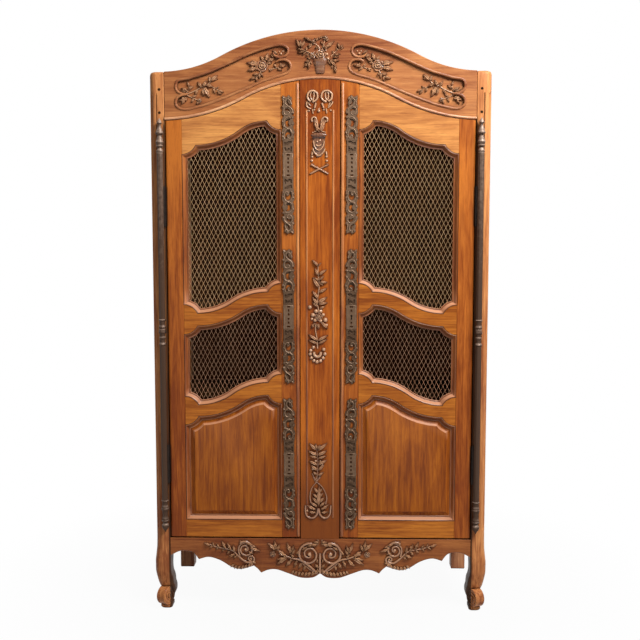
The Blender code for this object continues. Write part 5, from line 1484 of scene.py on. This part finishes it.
# %% Rows for the centre post
URN_GROUP = (
    ("stem", ([(-37, 2097), (-43, 2100), (-47, 2105), (-50, 2112), (-50, 2118), (-49, 2125), (-45, 2131), (-41, 2135),
     (-35, 2137), (-28, 2138), (-22, 2136), (-16, 2133), (-12, 2128), (-10, 2121), (-10, 2115), (-11, 2108),
     (-15, 2103), (-20, 2098), (-26, 2096)], 4.6, 4), ([(34, 2097), (40, 2100), (45, 2105), (47, 2111), (48, 2118),
     (47, 2125), (43, 2131), (38, 2135), (32, 2138), (25, 2138), (18, 2137), (12, 2133), (8, 2128), (6, 2121),
     (5, 2115), (7, 2108), (11, 2102), (17, 2098), (23, 2096)], 4.6, 4), ([(-32, 2100), (-37, 2112), (-38, 2124),
     (-35, 2132)], 3, 2.2), ([(-29, 2100), (-25, 2112), (-24, 2124), (-27, 2132)], 3.6, 2.6), ([(26, 2100),
     (22, 2112), (21, 2124), (24, 2132)], 3, 2.2), ([(29, 2100), (33, 2112), (34, 2124), (31, 2132)], 3.6, 2.6)),
    ("berry", (-27, 2096, 6.4), (22, 2096, 6.4)), ("stem", ([(-52, 2095), (-54, 2084), (-49, 2073), (-36, 2068)], 4.2,
     2.6), ([(-44, 2092), (-44, 2085), (-37, 2080)], 3, 2), ([(50, 2096), (48, 2088), (40, 2078), (32, 2071)], 4.2,
     2.6), ([(41, 2092), (36, 2082), (33, 2078)], 3, 2), ([(-17, 2090), (-19, 2080), (-22, 2070)], 4.4, 3.6),
     ([(8, 2090), (11, 2080), (15, 2070)], 4.4, 3.6), ([(-30, 2066), (-29, 2056), (-28, 2048)], 3.2, 2.4),
     ([(24, 2068), (26, 2058), (27, 2049)], 3.2, 2.4)), ("berry", (-23, 2064, 4.4), (15, 2064, 4.4), (-45, 2060, 4.6),
     (43, 2061, 4.6), (-27, 2096, 3), (-5, 2059, 6.6), (-4, 2067, 3.6)),
    ("stem", ([(-32, 2017), (-33, 2027), (-28, 2034), (-18, 2033), (-12, 2019), (-10, 2003), (-8, 1989), (-5, 1977)],
     3.8, 2.6), ([(28, 2017), (30, 2027), (24, 2034), (14, 2033), (6, 2021), (4, 2004), (0, 1989), (-3, 1977)], 3.8,
     2.6), ([(-25, 2022), (-22, 2016), (-20, 2004), (-16, 1987)], 2.2, 1.8), ([(22, 2022), (18, 2012), (15, 1998),
     (10, 1986)], 2.2, 1.8), ([(-6, 1992), (-11, 1982), (-31, 1974)], 2.4, 1.8), ([(-3, 1992), (3, 1982), (23, 1974)],
     2.4, 1.8)), ("lobed", (-7, 1979, -25, 2031, 0.4), (-1, 1979, 20, 2031, 0.4)),
    ("stem", ([(-30, 1898), (-32, 1886)], 3.4, 4.4)), ("berry", (-32, 1878, 6), (-33, 1862, 5.6)),
    ("stem", ([(25, 1898), (26, 1886)], 3.4, 4.4)), ("berry", (26, 1878, 6), (27, 1862, 5.6)))
STICKS = (
    ("stem", ([(-36, 1847), (-2, 1829), (33, 1810)], 4, 3.6), ([(34, 1847), (-3, 1829), (-40, 1810)], 4, 3.6)),
    ("leaf", (-36, 1847, -24, 1850, 0.4), (34, 1847, 22, 1850, 0.4)))
BRANCH_GROUP = (
    ("stem", ([(-8, 1442), (-7, 1408), (-4, 1374), (-4, 1347), (-8, 1320), (-10, 1293), (-7, 1266), (-4, 1246)], 1.8,
     2.8)), ("leaf", (-8, 1440, -31, 1466, 0.36), (-7, 1440, 5, 1454, 0.36), (-8, 1403, -19, 1432, 0.42),
     (-5, 1353, -32, 1392, 0.34), (-6, 1381, -26, 1395, 0.36), (-4, 1404, 27, 1428, 0.34), (-3, 1382, 19, 1400, 0.34),
     (-1, 1374, 32, 1375, 0.36), (-2, 1373, 14, 1359, 0.4), (-4, 1332, 29, 1351, 0.34), (-8, 1307, -30, 1341, 0.36),
     (-9, 1285, -35, 1314, 0.36), (-8, 1292, 32, 1312, 0.36), (-6, 1286, 32, 1292, 0.34), (-8, 1273, -31, 1295, 0.36),
     (-1, 1266, 21, 1278, 0.4)), ("rose", (-6, 1232, 17)), ("berry", (-41, 1272, 9), (-16, 1256, 9), (2, 1256, 9),
     (-29, 1240, 9.5), (13, 1241, 8), (22, 1220, 10.5), (-20, 1219, 8), (26, 1199, 7), (3, 1216, 7.5),
     (-33, 1224, 6)), ("lobed", (6, 1210, 33, 1186, 0.5), (-21, 1208, -38, 1185, 0.5)),
    ("leaf", (-8, 1205, -4, 1181, 0.45)), ("stem", ([(-16, 1205), (-18, 1178), (-12, 1140), (-10, 1103)], 2.4, 2.8)),
    ("leaf", (-9, 1135, -48, 1160, 0.3), (-11, 1123, -48, 1140, 0.28), (-8, 1135, 33, 1160, 0.3),
     (-7, 1123, 31, 1140, 0.28)), ("berry", (-27, 1108, 8.2), (-38, 1095, 8.2), (-40, 1080, 8.2), (-35, 1065, 8.2),
     (-25, 1053, 8.2), (-12, 1048, 8.2), (2, 1052, 8.2), (13, 1064, 8.2), (20, 1080, 8.2), (15, 1099, 8.2)),
    ("stem", ([(-24, 1089), (-23, 1076), (-11, 1069), (1, 1075), (3, 1089)], 6.2, 6.2)))
BOUQUET_GROUP = (
    ("stem", ([(-14, 688), (-10, 655), (-9, 619), (-10, 588), (-14, 557)], 2.2, 2.8)),
    ("leaf", (-15, 683, -46, 707, 0.34), (-13, 685, -18, 709, 0.42), (-10, 683, 0, 704, 0.45),
     (-8, 680, 32, 709, 0.3), (-13, 660, -50, 676, 0.36), (-8, 660, 30, 676, 0.36), (-13, 649, -46, 657, 0.3),
     (-7, 647, 28, 655, 0.3), (-11, 619, -47, 634, 0.34), (-7, 621, 30, 637, 0.36), (-11, 596, -41, 619, 0.36),
     (-6, 596, 18, 619, 0.4), (-13, 578, -33, 591, 0.4), (-9, 575, 18, 586, 0.36)),
    ("berry", (-25, 693, 5.5), (-1, 696, 5), (-22, 664, 7.5), (2, 665, 7.5), (-18, 634, 5.5), (-29, 602, 7.5),
     (10, 615, 7), (1, 634, 5)), ("stem", ([(-33, 583), (-25, 568), (-14, 550)], 2.6, 2.2), ([(6, 583), (-3, 565),
     (-14, 550)], 2.6, 2.2), ([(-28, 568), (-18, 545)], 2, 2), ([(2, 566), (-18, 542)], 2, 2), ([(-14, 545),
     (-32, 524), (-40, 498), (-41, 475), (-35, 451)], 2.2, 3), ([(-13, 545), (10, 524), (24, 496), (28, 475),
     (23, 452)], 2.2, 3)), ("leaf", (-6, 444, -6, 536, 0.2), (-9, 501, -24, 523, 0.42), (-4, 501, 9, 520, 0.42),
     (-10, 480, -30, 498, 0.4), (-3, 482, 13, 501, 0.4), (-11, 457, -30, 484, 0.4), (-2, 460, 18, 483, 0.4)),
    ("lobed", (-11, 442, -42, 464, 0.4), (-1, 443, 23, 465, 0.4)),
    ("stem", ([(-8, 435), (-12, 411), (-25, 396), (-42, 395), (-55, 404), (-60, 424), (-60, 447)], 5.4, 3.4),
     ([(-6, 435), (0, 410), (15, 395), (31, 397), (41, 411), (44, 431), (45, 447)], 5.4, 3.4)),
    ("lobed", (-18, 429, -57, 451, 0.34), (-18, 416, -50, 421, 0.4), (5, 429, 40, 451, 0.34), (5, 416, 33, 421, 0.4)),
    ("berry", (-53, 424, 5.5), (16, 417, 5.5), (-7, 429, 7)))
SWAGS = (
    ("stem", ([(-26, 1941), (-24, 1925), (-17, 1910), (-5, 1903), (6, 1910), (14, 1925), (16, 1939)], 2.8, 2.8),
     ([(-29, 1910), (-22, 1894), (-5, 1882), (12, 1894), (20, 1910)], 3, 3)),
    ("berry", (-11, 1937, 4.8), (0, 1942, 4.8)), ("stem", ([(-16, 1925), (-5, 1920), (6, 1926)], 3, 3)))
URN = ((0.0, 1876.0), (8.0, 1877.0), (16.0, 1888.0), (22.0, 1906.0), (25.0, 1930.0), (26.0, 1953.0), (25.0, 1960.0),
       (31.0, 1961.0), (32.0, 1964.0), (31.0, 1967.0), (24.0, 1970.0), (16.0, 1973.0), (0.0, 1974.0))
# A dark strip under the urn's rim: painted shadow.
URN_RIM_SHADOW = (
    ("stem", ([(-30, 1955), (21, 1955)], 3.2, 3.2)),)
URN_X, URN_FLAT = -4.4, 0.20
SWAG_GROUND, URN_RIM_SHADOW_GROUND = FACE - 0.0042, FACE - 0.0040
print("post groups", sum(len(rows) for rows in (URN_GROUP, STICKS, BRANCH_GROUP, BOUQUET_GROUP, SWAGS, URN_RIM_SHADOW)))

# %% Carving on the centre post
groups = [carve("branches", URN_GROUP + BRANCH_GROUP, FACING_FRONT, ALONE), half_turned("urn", URN, URN_X, URN_FLAT),
          carve("swags", SWAGS, SWAG_GROUND, ALONE),
          # The strip under the urn's rim gets no stem light, so it is painted dark as shadow.
          carve("line", URN_RIM_SHADOW, URN_RIM_SHADOW_GROUND, ALONE, stem_light=0.0),
          # The lower groups get half the stem light: painted shade lower down.
          carve("sticks", STICKS + BOUQUET_GROUP, FACING_FRONT, ALONE, stem_light=0.5)]
post_work = together("post_work", groups)
fit(post_work, "centre_post_carving", "root", "walnut", CARVED_Z)
print("post carving", len(post_work.data.polygons))

# %% [markdown]
# ## Carving on the apron
# Two large scrolls and a bunch of leaves fill the middle of the apron, and a smaller scroll with a long spray lies on
# each side. The halves mirror each other, so only the left is listed.

# %% Rows for the apron
APRON_MIDDLE = (
    ("stem", ([(-33, 284), (-46, 285), (-58, 282), (-69, 276), (-78, 268), (-84, 257), (-86, 246), (-86, 234),
     (-83, 223), (-77, 214), (-69, 207), (-59, 202), (-49, 201), (-40, 202), (-31, 206), (-24, 212), (-18, 220),
     (-16, 228), (-15, 237), (-17, 245), (-21, 252), (-26, 258), (-33, 262), (-40, 264), (-47, 263), (-53, 261),
     (-58, 257), (-62, 252), (-65, 246), (-65, 241), (-64, 235), (-62, 231), (-59, 227), (-55, 225), (-50, 224),
     (-46, 224), (-43, 225), (-40, 227), (-39, 230), (-38, 233), (-38, 236)], 5.8, 3.6)), ("berry", (-44, 238, 9.5)),
    ("stem", ([(-15, 161), (-46, 189), (-83, 213), (-114, 220), (-141, 229), (-171, 238)], 5.6, 3.2), ([(-10, 156),
     (-43, 174), (-77, 202)], 4, 2.6)), ("rose", (-197, 238, 13)),
    ("lobed", (-141, 229, -181, 256, 0.4), (-185, 256, -217, 288, 0.42), (-183, 256, -192, 299, 0.36)),
    ("leaf", (-180, 253, -166, 282, 0.36)), ("lobed", (-120, 243, -141, 288, 0.36), (-121, 247, -107, 278, 0.36)),
    ("leaf", (-117, 237, -104, 264, 0.36), (-110, 223, -124, 243, 0.42)),
    ("lobed", (-141, 224, -183, 212, 0.36), (-138, 223, -186, 194, 0.34), (-117, 216, -145, 183, 0.4),
     (-95, 212, -111, 180, 0.4)), ("leaf", (-77, 202, -89, 174, 0.42), (-61, 189, -72, 166, 0.42),
     (-9, 171, -26, 149, 0.5), (-24, 166, -40, 145, 0.5), (-39, 163, -54, 142, 0.5), (-53, 161, -68, 142, 0.5),
     (-68, 161, -82, 143, 0.5), (-82, 163, -96, 145, 0.5), (-96, 165, -109, 148, 0.5), (-108, 168, -121, 152, 0.5)),
    ("lobed", (-9, 202, -16, 221, 0.5), (-7, 180, -21, 199, 0.5)), ("leaf", (-5, 161, -15, 180, 0.45)),
    ("stem", ([(-1, 243), (-1, 199), (-1, 156)], 3, 5)), ("lobed", (-4, 291, -30, 289, 0.4),
     (-5, 285, -46, 274, 0.34), (-27, 282, -58, 270, 0.34), (-52, 270, -83, 256, 0.34), (-3, 297, -15, 299, 0.5)),
    ("leaf", (-83, 255, -104, 234, 0.36)))
APRON_SIDE = (
    ("stem", ([(-283, 206), (-306, 203), (-324, 214), (-343, 231), (-365, 251), (-395, 260), (-428, 266),
     (-462, 277)], 5, 2.6)), ("lobed", (-460, 275, -485, 286, 0.42), (-447, 272, -464, 260, 0.42),
     (-443, 270, -450, 289, 0.42), (-424, 266, -436, 252, 0.45), (-421, 266, -432, 283, 0.42),
     (-398, 260, -412, 245, 0.45), (-395, 260, -409, 295, 0.38), (-376, 252, -391, 235, 0.45),
     (-372, 254, -387, 287, 0.38), (-354, 239, -384, 224, 0.42), (-346, 231, -365, 218, 0.42)),
    ("leaf", (-357, 247, -365, 277, 0.38)), ("stem", ([(-334, 284), (-326, 289), (-318, 291), (-310, 291),
     (-302, 288), (-295, 284), (-290, 279), (-286, 272), (-284, 265), (-284, 258), (-285, 251), (-288, 244),
     (-293, 239), (-298, 235), (-304, 233), (-310, 232), (-316, 234), (-322, 236), (-326, 240), (-329, 244),
     (-331, 249), (-332, 255), (-331, 260), (-329, 264), (-327, 268), (-323, 271), (-319, 273), (-315, 274),
     (-311, 273), (-307, 272), (-305, 269), (-302, 267), (-301, 264), (-301, 260), (-301, 258), (-302, 255),
     (-304, 253), (-306, 252), (-308, 251), (-310, 251), (-312, 252)], 5.2, 3.4)), ("berry", (-311, 257, 7)),
    ("stem", ([(-335, 231), (-340, 254), (-335, 274), (-312, 286), (-290, 281)], 4.4, 2.6)),
    ("lobed", (-305, 285, -275, 275, 0.4), (-290, 266, -249, 247, 0.34)), ("leaf", (-286, 274, -266, 268, 0.4)),
    ("lobed", (-324, 281, -335, 299, 0.4), (-320, 283, -312, 299, 0.36), (-298, 247, -276, 238, 0.4)),
    ("stem", ([(-296, 200), (-291, 199), (-286, 200), (-282, 202), (-278, 206), (-276, 210), (-275, 214), (-275, 219),
     (-277, 223), (-280, 226), (-283, 228), (-286, 229), (-290, 229), (-293, 228), (-296, 226), (-298, 224),
     (-299, 221), (-299, 218), (-299, 215), (-297, 213), (-295, 211), (-293, 210), (-291, 210), (-289, 211),
     (-288, 212), (-287, 213), (-286, 214), (-286, 216), (-287, 217)], 4.4, 3)), ("berry", (-289, 218, 5)),
    ("leaf", (-283, 208, -266, 197, 0.45), (-281, 212, -270, 220, 0.42), (-279, 202, -293, 183, 0.5),
     (-291, 196, -305, 178, 0.5), (-305, 191, -319, 174, 0.5), (-319, 188, -333, 171, 0.5),
     (-333, 186, -347, 170, 0.5), (-348, 188, -361, 173, 0.5), (-360, 193, -374, 178, 0.5)))
print("apron groups", len(APRON_MIDDLE) + len(APRON_SIDE))

# %% Carving on the apron
# The apron's stems get less stem light: painted shade lower down.
apron_work = carve("apron_work", APRON_MIDDLE + APRON_SIDE, FACE, MIRRORED, stem_light=0.62)
fit(apron_work, "apron_carving", "root", "walnut", CARVED_X)
print("apron carving", len(apron_work.data.polygons))

# %% [markdown]
# ## Escutcheons
# Three long pierced plates decorate each lock stile: a plain box in the middle, then a fretted block, open scrolls and
# leaves towards each end. The real ones are cut and filed from sheet. Here the box, the blocks and the ends are cut
# boards too, with round strips and leaves laid on the ends. A finished model is copied to each of the six places. One
# plate has a real keyhole, so it has a model of its own.

# %% Outlines of a plate
PLATE_X = 0.128
PLATE_HEIGHTS = {"bottom": 0.6209, "middle": 1.2327, "top": 1.8445}
BOX = [(-21, -50), (21, -50), (21, -45), (23.5, -41), (21, -36), (21, 36), (23.5, 41), (21, 45), (21, 50), (-21, 50),
       (-21, 45), (-23.5, 41), (-21, 36), (-21, -36), (-23.5, -41), (-21, -45)]
OPEN_WORK = (
    ([(12, 187), (0, 190), (-13, 182), (-17, 168), (-14, 154), (-2, 146), (10, 150), (14, 158)], 2.6, 2.2),
    ([(16, 205), (15, 221), (3, 231), (-11, 229), (-17, 216), (-13, 203), (-2, 199), (5, 206), (1, 213)], 2.7, 2.0),
    ([(14, 240), (10, 253), (0, 263), (-9, 258), (-10, 246), (-2, 236), (8, 231)], 2.6, 2.0),
    ([(-20, 230), (-17, 243), (-18, 256), (-20, 263)], 2.4, 1.8),
    ([(-13, 103), (-16.5, 116), (-14.5, 132), (-4, 144), (9, 142), (16, 130), (16, 116), (9, 106), (0, 108),
      (-1, 116), (5, 119)], 2.8, 1.9))
EDGE = ((-21, 97), (-24, 103), (-22, 109), (-25, 116), (-22, 122), (-25, 129), (-23, 138), (-19, 147), (-23, 160),
        (-24, 173), (-22, 185), (-16, 196), (-23, 201), (-24, 212), (-21, 223), (-25, 232), (-14.5, 239), (-21.5, 247),
        (-16, 255), (-24, 264), (-18, 271), (-6, 268), (2, 276), (11, 268), (14, 253), (17, 242), (12, 234), (23, 219),
        (25, 210), (15, 199), (25, 191), (19, 180), (25, 165), (19, 151), (22, 144), (25, 135), (22, 127),
        (25, 119), (22, 111), (24, 104), (21, 97))
PIERCED = (
    ((-4.6, 257), (-6, 250), (-2, 241), (7, 235), (12, 238), (4, 242), (0, 250), (-0.5, 257)),
    ((-12.5, 217), (-11, 223), (-3.5, 226), (5, 222), (8, 214), (5, 209), (1, 214), (-3, 218), (-8, 214)),
    ((-11.5, 171), (-8, 179), (0, 183), (9, 184), (9, 180), (3, 175), (2, 167), (4, 161), (8, 157), (4, 152),
     (-5, 152), (-10, 160)),
    ((-9, 105), (-12.5, 117), (-11, 130), (-3, 139.5), (6, 138), (12, 128), (12, 117), (8, 111), (8, 118), (4, 123),
     (-3, 121), (-5, 114), (-4, 106)))
FRETTED = (
    ((-16, 92), (-6, 90), (2, 95), (15, 95), (15, 89), (5, 85), (-3, 80), (-14, 78), (-16, 84)),
    ((-15, 71), (-14, 57), (-4, 54), (4, 60), (13, 54), (16, 60), (15, 74), (9, 74), (9, 65), (2, 68), (-6, 62),
     (-9, 71)))
SHOOTS = (
    ("leaf", (-12, 262, -22, 276, 0.5), (0, 260, 3, 277, 0.5), (9, 254, 15, 270, 0.5), (-17, 170, -25, 180, 0.6),
     (14, 160, 25, 168, 0.6), (15, 212, 25, 204, 0.6), (-15, 228, -25, 236, 0.6), (14, 186, 25, 193, 0.6),
     (4, 143, -4, 152, 0.8), (-18, 108, -25, 119, 0.6), (-19, 124, -24, 136, 0.6), (19, 122, 25, 134, 0.6),
     (17, 105, 24, 116, 0.6), (-13, 150, -22, 156, 0.6)),)


print("plate length", 2 * max(height for across, height in EDGE))

# %% Tools for a plate
SLOTS = ((41, 13, 6), (26, 6, 9), (10, 7, 9), (-8, 7, 8), (-24, 6, 9), (-40, 13, 6))
SHADED = ((0, 121, 12.5, 18.5), (-1, 168, 12, 17), (-2, 216, 12, 11), (3, 246, 9, 12))
CRESCENT = ((1.0, 1.0, range(10, 171, 20)), (0.85, 0.5, range(170, 9, -20)))
KEY_RADIUS, KEY_HEIGHT, KEY_CLEAR = 4.2, 4.0, 12
PLATE_FRONT, SHEET_FRONT, NECK_FRONT, SHADOW_FRONT = -0.0048, -0.0058, -0.0030, -0.0006
SHOOT_GROUND, SHOOT_RELIEF = -0.0046, 0.0044
RIM_RADIUS, PLATE_EDGE, CUT = 0.0013, 0.0006, 0.01


def bow(across, height, turn):
    """A point on an oval, given its half measures and an angle in degrees."""
    return across * math.cos(math.radians(turn)), height * math.sin(math.radians(turn))


KEYHOLE = [(across, KEY_HEIGHT + height) for across, height in
           (bow(KEY_RADIUS, KEY_RADIUS, turn) for turn in range(-60, 241, 20))]
KEYHOLE += [(-3.0, -11), (3.0, -11)]


def rectangle(half, low, high):
    """The corners of a rectangle about the plate's middle line."""
    return metres([(-half, low), (half, low), (half, high), (-half, high)])


def pierce(line):
    """A tool that cuts an outline through a plate."""
    return board("pierce", metres(line), -CUT, CUT)


def slot_tool(height, wide, tall):
    """A tool that cuts one slot of the box."""
    return block("slot", (-wide / 2 * MM, -CUT, (height - tall / 2) * MM),
                 (wide / 2 * MM, CUT, (height + tall / 2) * MM))


def upside_down(piece):
    """A copy for the lower half, turned half round."""
    return copy_of(piece, Matrix.Rotation(math.pi, 4, "Y"))


# %% One plate
def plate_model(keyhole):
    """One plate about its middle, with its back at depth 0."""
    box = board("box", metres(BOX), PLATE_FRONT, 0.0)
    carve_out(box, *[slot_tool(*slot) for slot in SLOTS if not keyhole or abs(slot[0]) > KEY_CLEAR],
              *([pierce(KEYHOLE)] if keyhole else []))
    rim_line = [(across, PLATE_FRONT, height) for across, height in rectangle(17, -46, 46)]
    rim = cane("rim", [(rim_line, [RIM_RADIUS] * len(rim_line), True)], 1)
    fret = board("fret", rectangle(21, 50.5, 98), PLATE_FRONT, 0.0)
    carve_out(fret, *[pierce(line) for line in FRETTED])
    shadows = []
    for way in (1, -1):
        shadows.append(board("shadow", rectangle(20, way * 52, way * 97), SHADOW_FRONT, 0.0))
        for across, height, wide, tall in SHADED:
            bows = [bow(share * wide, lift * tall, turn) for share, lift, turns in CRESCENT for turn in turns]
            line = [(way * across + aside, way * height + above) for aside, above in bows]
            shadows.append(board("shadow", metres(line), SHADOW_FRONT, 0.0))
    neck = board("neck", rectangle(9, 48, 54), NECK_FRONT, 0.0)
    runs = []
    for points, begin, end in OPEN_WORK:
        line = flowing([(across * MM, SHEET_FRONT, height * MM) for across, height in points], 5)
        runs.append((line, tapered(begin, end, len(line)), False))
    lace = cane("lace", runs, 1)
    sheet = board("sheet", metres(EDGE), SHEET_FRONT, 0.0)
    carve_out(sheet, *[pierce(line) for line in PIERCED])
    shoots = carve("shoots", SHOOTS, SHOOT_GROUND, ALONE, relief=SHOOT_RELIEF)
    # The lace is marked by how much it faces the front, for a painted highlight; the flat parts, box and rim get fixed
    # marks, lowest for the flat parts and highest for the rim.
    mark_rubbed_and_lit(shade(lace, 60), lambda corner: 0.2 - 0.85 * corner.normal.y)
    flat = [soften(fret, PLATE_EDGE), neck, shade(sheet)]
    for part in flat:
        mark_rubbed_and_lit(part, lambda corner: 0.33)
    mark_rubbed_and_lit(soften(box, PLATE_EDGE), lambda corner: 0.5)
    mark_rubbed_and_lit(rim, lambda corner: 0.8)
    half = [lace, shoots, *flat]
    return together("plate", [box, rim, *shadows, *half, *[upside_down(part) for part in half]])


# %% Six plates
models = {keyhole: plate_model(keyhole) for keyhole in (False, True)}
for side, hand in SIDES:
    for word, height in PLATE_HEIGHTS.items():
        keyhole = (side, word) == ("right", "middle")
        place = Matrix.Translation((hand * PLATE_X, FACE, height)) @ Matrix.Scale(-hand, 4, (1, 0, 0))
        plate = copy_of(models[keyhole], place)
        if keyhole:
            outline = [(PLATE_X + across * MM, height + rise * MM) for across, rise in KEYHOLE]
            carve_out(bpy.data.objects["door_right_lock_stile_wood"], board("keyhole", outline, TOOL_FRONT, TOOL_BACK))
        node = "door_%s_escutcheon_%s" % (side, word)
        fit(plate, node + "_iron", "door_" + side, "iron", PLATE_IRON, stands_for=(node,))
scrap(*models.values(), *[form for forms in FORMS.values() for form in forms])
print("plate faces", len(plate.data.polygons))

# %% [markdown]
# ## Floor, light and camera
# The floor and the background are plain and pale. A large soft lamp hangs high in front, as in a photographer's
# studio, so the upper edges of mouldings are bright and the apron is darker. The camera stands far back at eye height
# and looks slightly down.

# %% Floor
FLOOR_WIDE = 40.0
SHADOW_NEAR, SHADOW_FAR = 0.55, 1.7
SHADOW_SHARE = 0.05
WHITE = (1.0, 1.0, 1.0, 1.0)
AIR_COLOUR, AIR_LIGHT = (0.93, 0.96, 1.0, 1.0), 0.13
put_down()
bpy.ops.mesh.primitive_plane_add(size=FLOOR_WIDE)
floor = bpy.context.object
floor.name = "studio_floor"
pale, start, shader = finish("studio_floor")
shader.inputs["Base Color"].default_value = (0.50, 0.50, 0.50, 1.0)
shader.inputs["Roughness"].default_value = 0.9
near = start.node("TexCoord", {}, {}, "Object")
far = start.node("VectorMath", {"operation": "LENGTH"}, {0: near}, "Value").above(SHADOW_NEAR, SHADOW_FAR)
camera_ray, mirror_ray, clear_ray = [start.node("LightPath", {}, {}, "Is %s Ray" % kind)
                                     for kind in ("Camera", "Glossy", "Transmission")]
rays = (camera_ray + mirror_ray + clear_ray).above(0.0, 1.0)
glow = start.node("Emission", {}, {"Color": WHITE, "Strength": 1.0})
lit = Tone(start.tree, shader.outputs[0])
seen = start.node("MixShader", {}, {0: rays * (far * SHADOW_SHARE + (1 - SHADOW_SHARE)), 1: lit, 2: glow})
start.feed(start.tree.nodes["Material Output"].inputs["Surface"], seen)
floor.data.materials.append(pale)
print("floor nodes", len(start.tree.nodes))

# %% Background
world = bpy.context.scene.world or bpy.data.worlds.new("studio")
bpy.context.scene.world = world
world.use_nodes = True
air = Tone(world.node_tree)
for old in list(world.node_tree.nodes):
    world.node_tree.nodes.remove(old)
behind = air.node("SeparateXYZ", {}, {0: air.node("TexCoord", {}, {}, "Generated")}, "Y").above(0.0, 0.2)
rays = air.node("LightPath", {}, {}, "Is Camera Ray") + air.node("LightPath", {}, {}, "Is Glossy Ray") * behind
white = air.node("Background", {}, {"Color": WHITE, "Strength": 1.0})
soft = air.node("Background", {}, {"Color": AIR_COLOUR, "Strength": AIR_LIGHT})
sky_out = world.node_tree.nodes.new("ShaderNodeOutputWorld")
air.feed(sky_out.inputs["Surface"], air.node("MixShader", {}, {0: rays, 1: soft, 2: white}))
print("background nodes", len(world.node_tree.nodes))


# %% Lamps
def lamp(name, place, aim, size, power):
    """A rectangular lamp that looks at a point."""
    light = bpy.data.lights.new(name, "AREA")
    light.shape = "RECTANGLE"
    light.size, light.size_y = size
    light.energy = power
    holder = bpy.data.objects.new(name, light)
    bpy.context.scene.collection.objects.link(holder)
    holder.location = place
    holder.rotation_euler = (Vector(aim) - Vector(place)).to_track_quat("-Z", "Y").to_euler()
    return holder


lamp("high_key", (1.8, -2.2, 4.0), (0.0, -0.2, 1.9), (2.0, 1.2), 205.0)
lamp("front_fill", (-1.4, -4.6, 1.4), (0.0, -0.2, 1.1), (3.0, 2.0), 14.0)
print("lamps", len(bpy.data.lights))

# %% Camera
PICTURE_SIDE = 640
FOCAL = 910.4
CAMERA_BACK = 3.70
CAMERA_RIGHT = 0.08
CAMERA_HEIGHT = 1.549
CAMERA_DOWN = math.radians(5.085)
eye = bpy.data.cameras.new("camera")
eye.sensor_width = 36.0
eye.lens = FOCAL / PICTURE_SIDE * eye.sensor_width
camera = bpy.data.objects.new("camera", eye)
bpy.context.scene.collection.objects.link(camera)
camera.location = (CAMERA_RIGHT, FACE - CAMERA_BACK, CAMERA_HEIGHT)
camera.rotation_euler = (math.pi / 2 - CAMERA_DOWN, 0.0, math.atan2(CAMERA_RIGHT, CAMERA_BACK))
bpy.context.scene.camera = camera
bpy.context.scene.view_settings.view_transform = "Standard"
print("lens", round(eye.lens, 2))
